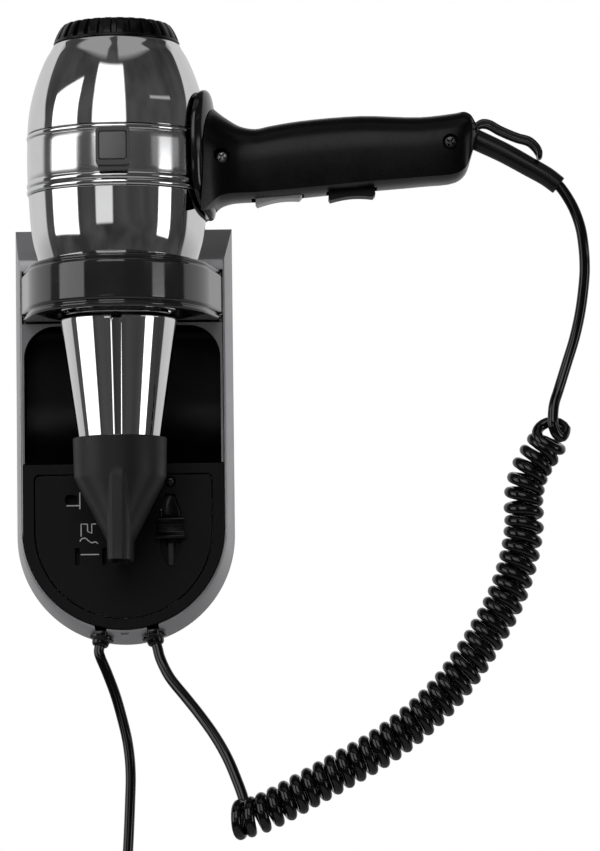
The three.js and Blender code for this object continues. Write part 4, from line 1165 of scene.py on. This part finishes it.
def mains_line():
    start = spline(MAINS_STRAIGHT, 6)
    low = start[-1]
    angles = [math.radians(degree) for degree in range(6, 65, 6)]
    bend = [low + Vector((math.cos(a) - 1, 0, -math.sin(a))) * ENTRY_BEND for a in angles]
    coil = coil_line()
    plug = Vector(((PLUG_LOW.x + PLUG_HIGH.x) / 2, COIL_CENTRE.y, PLUG_HIGH.z))
    way_in = [plug + Vector((x, 0, z)) for x, z in ((-1.5, 28), (0, 12), (0, -2))]
    return start + bend + coil + spline([coil[-1], *way_in], 6)[1:]


def metres(line):
    return [tuple(point * MM) for point in line]


def add_cords():
    line = handset_line()
    lead = smooth(tube("handset_cord", line, CORD_RADIUS, 14), 60)
    lead.data.materials.append(CORD_BLACK)
    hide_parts("handset_lead_upper", "handset_lead_curl", "handset_lead_lower")
    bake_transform(lead)
    metres(line)
    line = mains_line()
    mains = smooth(tube("mains_cord", line, CORD_RADIUS, 12), 60)
    place(mains, "holder", "gloss_black", CORD_BLACK, "mains_lead", "mains_coil", "mains_lead_tail")
    metres(line)


add_cords()


# ---------- holder ----------
HOLDER_BACK = (51.75, 100, -46.3)
HOLDER_FACE = (48.6, 83.2, -44)
HOLDER_DEPTH = 26
SHELL_WALL = 1.8
WINDOW = (47.6, 77.7, -44)
SCOOP_CLEARANCE = 1.1


def holder_size(depth, inset=0.0):
    """Half width, top and arc centre of the drafted holder at a depth."""
    t = depth / HOLDER_DEPTH
    half_width, top, centre = (lerp(a, b, t) for a, b in zip(HOLDER_BACK, HOLDER_FACE))
    return half_width - inset, top - inset, centre


def holder_row(depth, inset=0.0, at_least=0.0):
    half_width, top, centre = holder_size(depth, inset)
    return [(x, -depth, z) for x, z in shield(max(half_width, at_least), top, centre)]


def window_row(depth, inset=0.0):
    half_width, top, centre = WINDOW
    return [(x, -depth, z) for x, z in shield(half_width - inset, top - inset, centre)]


BUSH_DEPTH = 13
# Each bush's place from left to right.
BUSHES = {"mains_bush": -11.2, "handset_bush": 13.2}


def bush_place(x):
    """The middle of a bush where the cord leaves the holder, and the way that it points."""
    half_width, _, centre = holder_size(BUSH_DEPTH)
    down = -math.sqrt(half_width ** 2 - x ** 2)
    slope = (HOLDER_BACK[0] - HOLDER_FACE[0]) / HOLDER_DEPTH
    rise = (HOLDER_FACE[2] - HOLDER_BACK[2]) / HOLDER_DEPTH
    normal = Vector((x, down * rise - half_width * slope, down)).normalized()
    return Vector((x, -BUSH_DEPTH, centre + down)), normal


def at_bush(obj, x):
    origin, normal = bush_place(x)
    turn = Vector((0, 0, 1)).rotation_difference(normal).to_matrix().to_4x4()
    return move(obj, Matrix.Translation(origin) @ turn)


def add_shell():
    rows = [
        holder_row(0), holder_row(12), holder_row(24.9), holder_row(25.5, 0.12), holder_row(25.85, 0.38),
        holder_row(26, 0.75), window_row(26, -0.12), window_row(25.85), window_row(23.6),
        holder_row(23.4, SHELL_WALL, WINDOW[0]), holder_row(12, SHELL_WALL), holder_row(0, SHELL_WALL),
    ]
    shell = skin("holder_case", rows, wrap=True)
    scoop_wall = body_form("scoop_wall", SCOOP_CLEARANCE + SHELL_WALL, 77.8, 104)
    form = skin("form", [holder_row(0.2, 0.2), holder_row(25.8, 0.2)])
    fuse(shell, carve(scoop_wall, form, operation="INTERSECT"))
    carve(shell, body_form("scoop", SCOOP_CLEARANCE, 71.3, 106))
    for x in BUSHES.values():
        carve(shell, at_bush(revolve("bore", [(4.2, -8), (4.2, 8)], wrap=False, count=40), x))
        carve(shell, block("slot", (x - 2.8, x + 2.8), (-HOLDER_DEPTH - 2, -BUSH_DEPTH), (-100, -86)))
    # A small catch slot low on the front, between the two cords.
    carve(shell, block("catch", (-1.8, 1.8), (-24.6, -20.6), (-100, -89)))
    place(smooth(shell, 30), "holder", "silver_plastic", SILVER, "holder_shell")


RING_BACK = 20
RING_FLARE = 27
RING_SIDE = 47.4
# The front of the ring is half an oval, with its middle at a depth in front of the wall.
RING_HALF = 43.5
RING_REACH = 57.5
RING_MIDDLE = 41
RING_TURN = 55


def ring_plan(inset):
    """The dock ring's outline seen from above, drawn in by an inset all round its front."""
    points = [(-RING_SIDE + inset, -RING_BACK)]
    # The oval runs on into straight sides, which flare out to the holder.
    start = math.asin((RING_TURN - RING_MIDDLE) / RING_REACH)
    edge = (RING_HALF - inset) * math.cos(start)
    for k in range(9):
        t = k / 9
        points.append((-lerp(RING_SIDE - inset, edge, t), -lerp(RING_FLARE, RING_TURN, t)))
    for k in range(97):
        angle = lerp(math.pi + start, math.tau - start, k / 96)
        points.append(((RING_HALF - inset) * math.cos(angle),
                       -RING_MIDDLE + (RING_REACH - inset) * math.sin(angle)))
    return points + [(-x, y) for x, y in points[9::-1]]


# The ring's outer profile as inset and height: a lip below, the plain face, a groove and a lip above.
RING_ROWS = [
    (3.5, 53.4), (1.9, 53.45), (1.15, 53.75), (0.75, 54.3), (0.7, 54.9), (0.9, 55.4), (1.35, 55.75),
    (1.4, 56.2), (0.9, 56.6), (0.3, 57.0), (0, 57.7), (0, 58.3), (0, 65), (0, 73.3), (0, 74),
    (0.25, 74.75), (0.8, 75.15), (1.15, 75.4), (1.15, 75.7), (0.85, 75.95), (0.7, 76.4), (0.8, 76.9),
    (1.0, 77.2), (1.35, 77.3),
]
# The opening for the barrel, as radius and height. It widens towards its mouth.
RING_BORE = [
    (33.9, 40), (33.9, 51), (34.1, 53), (34.2, 66), (36, 71.5), (37.4, 75.2), (38.1, 76.4), (38.8, 77.05),
    (39.3, 77.5), (39.3, 90),
]


def add_dock_ring():
    rows = [[(x, y, z) for x, y in ring_plan(inset)] for inset, z in RING_ROWS]
    ring = skin("dock_collar", rows)
    carve(ring, on_axis("bore", RING_BORE, wrap=False))
    place(smooth(ring, 40), "holder", "gloss_black", RING_BLACK, "dock_ring")


RECESS_HALF = 46.2
RECESS_HIGH = 51.6
RECESS_LOW = -13.2
RECESS_DEEP = 8


def curve_points(points, steps):
    """A cubic curve from its four control points."""
    p0, p1, p2, p3 = (Vector(point) for point in points)
    line = []
    for k in range(steps + 1):
        t = k / steps
        s = 1 - t
        line.append(p0 * s ** 3 + p1 * 3 * s * s * t + p2 * 3 * s * t * t + p3 * t ** 3)
    return line


def add_liner():
    low, high = extent("recess_liner")
    shape = block("recess_shell", (low.x, high.x), (low.y, high.y), (low.z, high.z))
    cove = curve_points([(-25.4, RECESS_LOW), (-16, -6), (-RECESS_DEEP, 2), (-RECESS_DEEP, 18)], 24)
    roof = curve_points([(-RECESS_DEEP, 40), (-RECESS_DEEP, 46), (-10, RECESS_HIGH), (-16, RECESS_HIGH)], 10)
    section = [(-40, RECESS_HIGH), (-40, RECESS_LOW), *((p.x, p.y) for p in cove + roof)]
    hollow = skin("hollow", [[(x, y, z) for y, z in section] for x in (-50, 50)])
    opening = rounded(-RECESS_HALF, RECESS_HALF, RECESS_LOW - 40, RECESS_HIGH, 15, 20)
    carve(hollow, slab("opening", opening, 0, 45), operation="INTERSECT")
    carve(shape, hollow)
    place(smooth(shape, 30), "holder", "gloss_black", LINER_BLACK, "recess_liner")
    # The face round the recess's upper corners is painted light grey: painted light that lifts it out of the
    # ring's shadow to match the lit sides of the ring above it.
    shape.data.materials.append(CORNER_PAINTED_LIGHT)
    for face in shape.data.polygons:
        if face.normal.y < -0.9 and face.center.z / MM > RECESS_LOW and face.center.y < (low.y + 1) * MM:
            face.material_index = 1


PANEL_LOW, PANEL_HIGH = extent("panel_frame")
PLATE_LOW, PLATE_HIGH = extent("socket_plate")
PLATE_CENTRE = -44.6
PANEL_CENTRE = -44
PLATE_CORNER = 2.5
SELECTOR_X = 22
SELECTOR_OPENING = [
    (-2.2, -28), (2.2, -28), (5, -36), (5, -54), (1.6, -62), (-1.6, -62), (-5, -54), (-5, -36),
]
UPPER_HOLES = [-24.4, -6.4]
LOWER_SLOTS = [-21.7, -9]


def add_panel():
    panel = slab("panel_rim", shield(PANEL_HIGH.x, PANEL_HIGH.z, PANEL_CENTRE), -PANEL_HIGH.y, -PANEL_LOW.y)
    gap = PIECE_GAP + 0.15
    hole = shield(PLATE_HIGH.x + gap, PLATE_HIGH.z + gap, PLATE_CENTRE, PLATE_CORNER)
    carve(panel, slab("hole", hole, 15, 35))
    soften(panel, 0.35, 3, 40)
    place(panel, "holder", "matt_black", PANEL_BLACK, "panel_frame")
    plate = slab("outlet_plate", shield(PLATE_HIGH.x - 0.1, PLATE_HIGH.z - 0.1, PLATE_CENTRE, PLATE_CORNER),
                 -PLATE_HIGH.y, -PLATE_LOW.y)
    for x in UPPER_HOLES:
        carve(plate, slab("hole", rounded(x - 3, x + 3, -32.8, -28, 2.2), 15, 35))
    for x in LOWER_SLOTS:
        carve(plate, slab("slot", rounded(x - 1.1, x + 1.1, -61, -53, 0.35, 3), 15, 35))
    opening = [(SELECTOR_X + x, z) for x, z in SELECTOR_OPENING]
    carve(plate, slab("opening", opening, 24, 30))
    carve(plate, block("guide", (SELECTOR_X - 2, SELECTOR_X + 2), (-30, -20), (-54, -36)))
    x, z = PLATE_SCREW
    carve(plate, rod("seat", 2.6, (x, -24.6, z), (x, -30, z)))
    carve(plate, rod("hole", 1.2, (x, -20, z), (x, -30, z)))
    # A dark sheet closes the outlet's holes from behind: painted shade that stands in for the shade deep in
    # the holes and hides the contacts behind them.
    fuse(plate, slab("shade_sheet", rounded(-28.5, -4, -63.5, -26, 1), 21.6, 22.3))
    soften(plate, 0.3, 3, 40)
    place(plate, "holder", "matt_black", PANEL_BLACK, "socket_plate")


def add_selector():
    low, high = extent("selector_slider")
    half = (high.x - low.x) / 2
    base = high.z
    foot = base - 10.3
    # The knob seen from its side: depth and height.
    side = [(27.35, foot), (30.4, foot + 0.2), (31, foot + 0.9), (30.9, foot + 1.7), (29.5, foot + 3.2),
            (29.2, foot + 5), (29.4, foot + 7.5), (29.9, base - 0.7), (29.4, base), (27.35, base)]
    rows = [[(x, -depth, z) for depth, z in side] for x in (SELECTOR_X - half, SELECTOR_X + half)]
    knob = skin("knob", rows)
    soften(knob, 0.35, 3, 30)
    ribs = [block("rib", (SELECTOR_X - half + 1.6, SELECTOR_X + half - 1.6), (-29.75, -28.6), (z, z + 0.5))
            for z in (foot + 3.8, foot + 5.1, foot + 6.4)]
    stem = block("stem", (SELECTOR_X - 1.6, SELECTOR_X + 1.6), (-28, -20.8), (foot + 4.6, foot + 7.75))
    # The tapering pointer above the knob fills the upper end of the plate's opening.
    pointer = [(SELECTOR_X + x, z) for x, z in (
        (-4.4, base), (4.4, base), (4.4, -36.4), (2.1, -29.6), (1.2, -28.5), (-1.2, -28.5), (-2.1, -29.6),
        (-4.4, -36.4))]
    tongue = soften(slab("pointer", pointer, 25.2, 27.4), 0.5, 2, 30)
    piece = joined("selector_knob", [knob, stem, tongue, *ribs])
    place(smooth(piece, 40), "selector", "matt_black", KNOB_BLACK, "selector_slider")


MARK_BACK = 26.98
MARK_FRONT = 27.05


def mark_line(points, width):
    """A painted line with round ends, as a flat strip on the plate."""
    line = [Vector(point) for point in points]
    left = []
    right = []
    for k, place_in in enumerate(line):
        ahead = (line[min(k + 1, len(line) - 1)] - line[max(k - 1, 0)]).normalized()
        aside = Vector((-ahead.y, ahead.x)) * width / 2
        left.append(place_in + aside)
        right.append(place_in - aside)
    return slab("mark", left + right[::-1], MARK_BACK, MARK_FRONT)


def add_marks():
    """Plain painted lines for the outlet's symbols: bars, a socket outline, a wavy lead and a rule."""
    wave = [(-20.5, -49.9), (-19.6, -48.7), (-17.8, -48.5), (-16.4, -49.7), (-14.9, -50.6), (-13.3, -50.2),
            (-12, -51)]
    wave = along(wave, 6)
    lines = [
        ([(-20.4, -26.9), (-20.4, -34.8)], 0.5), ([(-26.6, -33.1), (-20.4, -33.1)], 0.5),
        ([(-19.9, -47.6), (-19.9, -41.8), (-17, -41.8)], 0.5), ([(-16.9, -41.8), (-16.9, -45.2)], 0.5),
        ([(-14.9, -41.8), (-14.9, -46.2)], 0.5), ([(-16.9, -45.2), (-14.9, -46.2)], 0.4),
        ([(-15, -41.8), (-12.9, -41.8)], 0.5), (wave, 0.5), ([(-20.2, -56.1), (-11.6, -56.1)], 0.5),
        ([(17.6, -35.4), (18.9, -37.4)], 0.4), ([(18.6, -35.4), (18.6, -37.4)], 0.4),
    ]
    marks = joined("panel_marks", [mark_line(points, width) for points, width in lines])
    place(marks, "holder", "white_plastic", INK)
    outline = rounded(SELECTOR_X - 1.15, SELECTOR_X + 1.25, -61.4, -51.1, 0.4)
    strip = slab("selector_scale", outline, 24.02, 24.6)
    place(soften(strip, 0.15), "holder", "matt_grey", SCALE_GREY)


# A bush's outside, as radius and distance out of the holder: a barb within, a groove and a flange.
BUSH_PROFILE = [
    (3, -6), (4.6, -4.9), (5.4, -3.6), (5.4, -2.4), (5.1, -2.2), (3.9, -2.2), (3.9, 0.4), (4.8, 0.5),
    (5.7, 0.55), (6, 0.85), (6, 1.6), (5.75, 1.95), (5, 2.15), (4.3, 2.35), (4.1, 2.9), (4, 3.9),
    (3.7, 4.6), (3.3, 5),
]


def add_bushes():
    for node, x in BUSHES.items():
        outer = BUSH_PROFILE + [(CORD_BORE, 5), (CORD_BORE, -6)]
        bush = at_bush(revolve(node + "_grip", outer, count=48), x)
        origin = bush_place(x)[0]
        tongue = block("tongue", (x - 2.5, x + 2.5), (-HOLDER_DEPTH + 0.8, -BUSH_DEPTH - 2.7),
                       (origin.z - 0.4, origin.z + 2.6))
        piece = joined(node + "_rubber", [bush, soften(tongue, 0.6, 3)])
        place(smooth(piece, 40), "holder", "rubber", BUSH_BLACK, node)


# Distance below the plug's top, half width and half depth.
PLUG_SIZES = [
    (0, 2.9, 2.9), (0.4, 3.3, 3.3), (3, 3.4, 3.4), (3.4, 2.9, 2.9), (4.2, 2.9, 2.9), (4.6, 3.5, 3.5),
    (6.6, 3.6, 3.6), (7, 3.1, 3.1), (7.8, 3.1, 3.1), (8.2, 3.8, 3.8), (9.4, 3.95, 3.9), (11, 5.4, 4.5),
    (12.8, 7.9, 5.5), (15.5, 11.4, 6.3), (18.4, 13.4, 6.65), (22, 13.7, 6.75), (27, 13.8, 6.8),
    (32.2, 13.7, 6.7), (33.2, 13.4, 6.4), (34, 12.8, 5.9),
]
PLUG_POWER = 2.6


def add_tie():
    low, high = extent("cord_tie")
    middle = (low + high) / 2
    reach = (high.x - low.x) / 2
    profile = [(reach - 1.2, low.z), (reach - 0.3, low.z), (reach, low.z + 0.3), (reach, high.z - 0.3),
               (reach - 0.3, high.z), (reach - 1.2, high.z)]
    band = revolve("lead_tie", profile, count=64, centre=(middle.x, middle.y))
    place(smooth(band, 40), "holder", "matt_black", MATT_BLACK, "cord_tie")


def add_plug():
    low, high = PLUG_LOW, PLUG_HIGH
    centre = (low + high) / 2
    rows = [polar_row(lambda a: oval_reach(half_x, half_y, PLUG_POWER, a), high.z - down, turns(64), centre)
            for down, half_x, half_y in PLUG_SIZES]
    place(smooth(skin("mains_plug", rows), 40), "holder", "matt_black", MATT_BLACK, "plug_body")
    for node in ("plug_pin_left", "plug_pin_right"):
        low, high = extent(node)
        middle = (low + high) / 2
        profile = [(2, high.z), (2, low.z + 1.6), (1.75, low.z + 0.8), (1.2, low.z + 0.2), (0.6, low.z)]
        pin = revolve(node + "_round", profile, wrap=False, count=32, centre=(middle.x, middle.y))
        place(smooth(pin, 40), "holder", "steel", STEEL, node)


add_shell()
add_dock_ring()
add_liner()
add_panel()
add_selector()
add_marks()
add_bushes()
add_tie()
add_plug()


# ---------- studio ----------
class Term:
    """A number in a node tree, so that sums of such numbers read as they are written."""

    def __init__(self, tree, socket):
        self.tree = tree
        self.socket = socket

    def math(self, operation, first, second=None, clamp=False):
        """A math node of one or two terms or plain numbers."""
        node = self.tree.nodes.new("ShaderNodeMath")
        node.operation = operation
        node.use_clamp = clamp
        for value, target in zip((first, second), node.inputs):
            if isinstance(value, Term):
                self.tree.links.new(value.socket, target)
            elif value is not None:
                target.default_value = value
        return Term(self.tree, node.outputs[0])

    def __add__(self, other):
        return self.math("ADD", self, other)

    def __sub__(self, other):
        return self.math("SUBTRACT", self, other)

    def __rsub__(self, other):
        return self.math("SUBTRACT", other, self)

    def __mul__(self, other):
        return self.math("MULTIPLY", self, other)

    def share_of(self, whole):
        """The number as a share of a whole, kept between 0 and 1."""
        return self.math("DIVIDE", self, whole, clamp=True)


def within(value, low, high, soft):
    """1 where the value lies between two limits, with soft edges."""
    return (value - low).share_of(soft) * (high - value).share_of(soft)


# Soft boxes by azimuth and elevation in degrees, with their brightness, the softness of their edges, and
# how much they rise from left to right.
SOFT_BOXES = [
    (-91, -50, -8, 20, 1.7, 1.5, -0.134),
    (-91, -50, -5, 26.5, 1.7, 1.5, 0.34),
    (56, 76, -14.5, 8, 2.4, 2, 0),
    (46, 88, 8, 12, 1.4, 1.5, 0),
    (-31, 15, 10.5, 51, 1.7, 2.5, 0),
    (-27, -3, -7.5, 3.5, 0.8, 2, 0),
    (48, 82, 26, 30, 0.5, 2, -0.08),
    (-112, -14, 51, 95, 0.34, 5, 0),
    (3, 84, 51, 95, 0.34, 5, 0),
]
# The wall of light behind the object starts at this azimuth, and further round above a height.
BACK_EDGE = 104
BACK_EDGE_HEIGHT = 14
BACK_EDGE_RISE = 0.8
BACK_LIGHT = 0.58
ROOM_LIGHT = 0.055
ROOM_PATCHES = 2.2
DEGREES = 180 / math.pi


def back_light(azimuth, elevation):
    """The wall of light, which is dimmer low down and ends high up."""
    above = elevation - BACK_EDGE_HEIGHT
    edge = above.math("MAXIMUM", above, 0) * BACK_EDGE_RISE + BACK_EDGE
    behind = (azimuth.math("ABSOLUTE", azimuth) - edge).share_of(3)
    level = ((elevation + 22).share_of(22) * 0.75 + 0.25) * (46 - elevation).share_of(10)
    return behind * level * BACK_LIGHT


def room_light(tree, toward):
    """The faint light of the dark room, in slow patches."""
    patches = tree.nodes.new("ShaderNodeTexNoise")
    patches.inputs["Scale"].default_value = ROOM_PATCHES
    tree.links.new(toward, patches.inputs["Vector"])
    return Term(tree, ranged(tree, patches.outputs["Fac"], ROOM_LIGHT * 0.6, ROOM_LIGHT * 1.5))


def add_studio():
    """A white room behind the object, a dark one in front of it, and the soft boxes in front."""
    world = bpy.data.worlds.new("studio")
    world.use_nodes = True
    bpy.context.scene.world = world
    tree = world.node_tree
    background = tree.nodes["Background"]
    toward = tree.nodes.new("ShaderNodeTexCoord").outputs["Generated"]
    split = tree.nodes.new("ShaderNodeSeparateXYZ")
    tree.links.new(toward, split.inputs[0])
    x, y, z = (Term(tree, socket) for socket in split.outputs)
    azimuth = x.math("ARCTAN2", x, y * -1) * DEGREES
    elevation = z.math("ARCSINE", z) * DEGREES
    light = back_light(azimuth, elevation) + room_light(tree, toward)
    for left, right, low, high, bright, soft, tilt in SOFT_BOXES:
        level = elevation - (azimuth - left) * tilt
        box = within(azimuth, left, right, soft) * within(level, low, high, soft)
        light = light.math("MAXIMUM", light, box * bright)
    # The room itself is seen as plain white.
    seen = Term(tree, tree.nodes.new("ShaderNodeLightPath").outputs["Is Camera Ray"])
    strength = light * (1 - seen) + seen
    background.inputs["Color"].default_value = (1, 1, 1, 1)
    tree.links.new(strength.socket, background.inputs["Strength"])
    world.cycles.sampling_method = "MANUAL"
    world.cycles.sample_map_resolution = 1024
    bpy.context.scene.view_settings.view_transform = "Standard"


FLOOR_DROP = 850
FLOOR_RADIUS = 1400


def add_floor():
    low = CAD_BOX[0].z / MM - FLOOR_DROP
    floor = revolve("floor", [(FLOOR_RADIUS, low - 10), (FLOOR_RADIUS, low)], wrap=False, count=96)
    floor.data.materials.append(FLOOR)


add_studio()
add_floor()
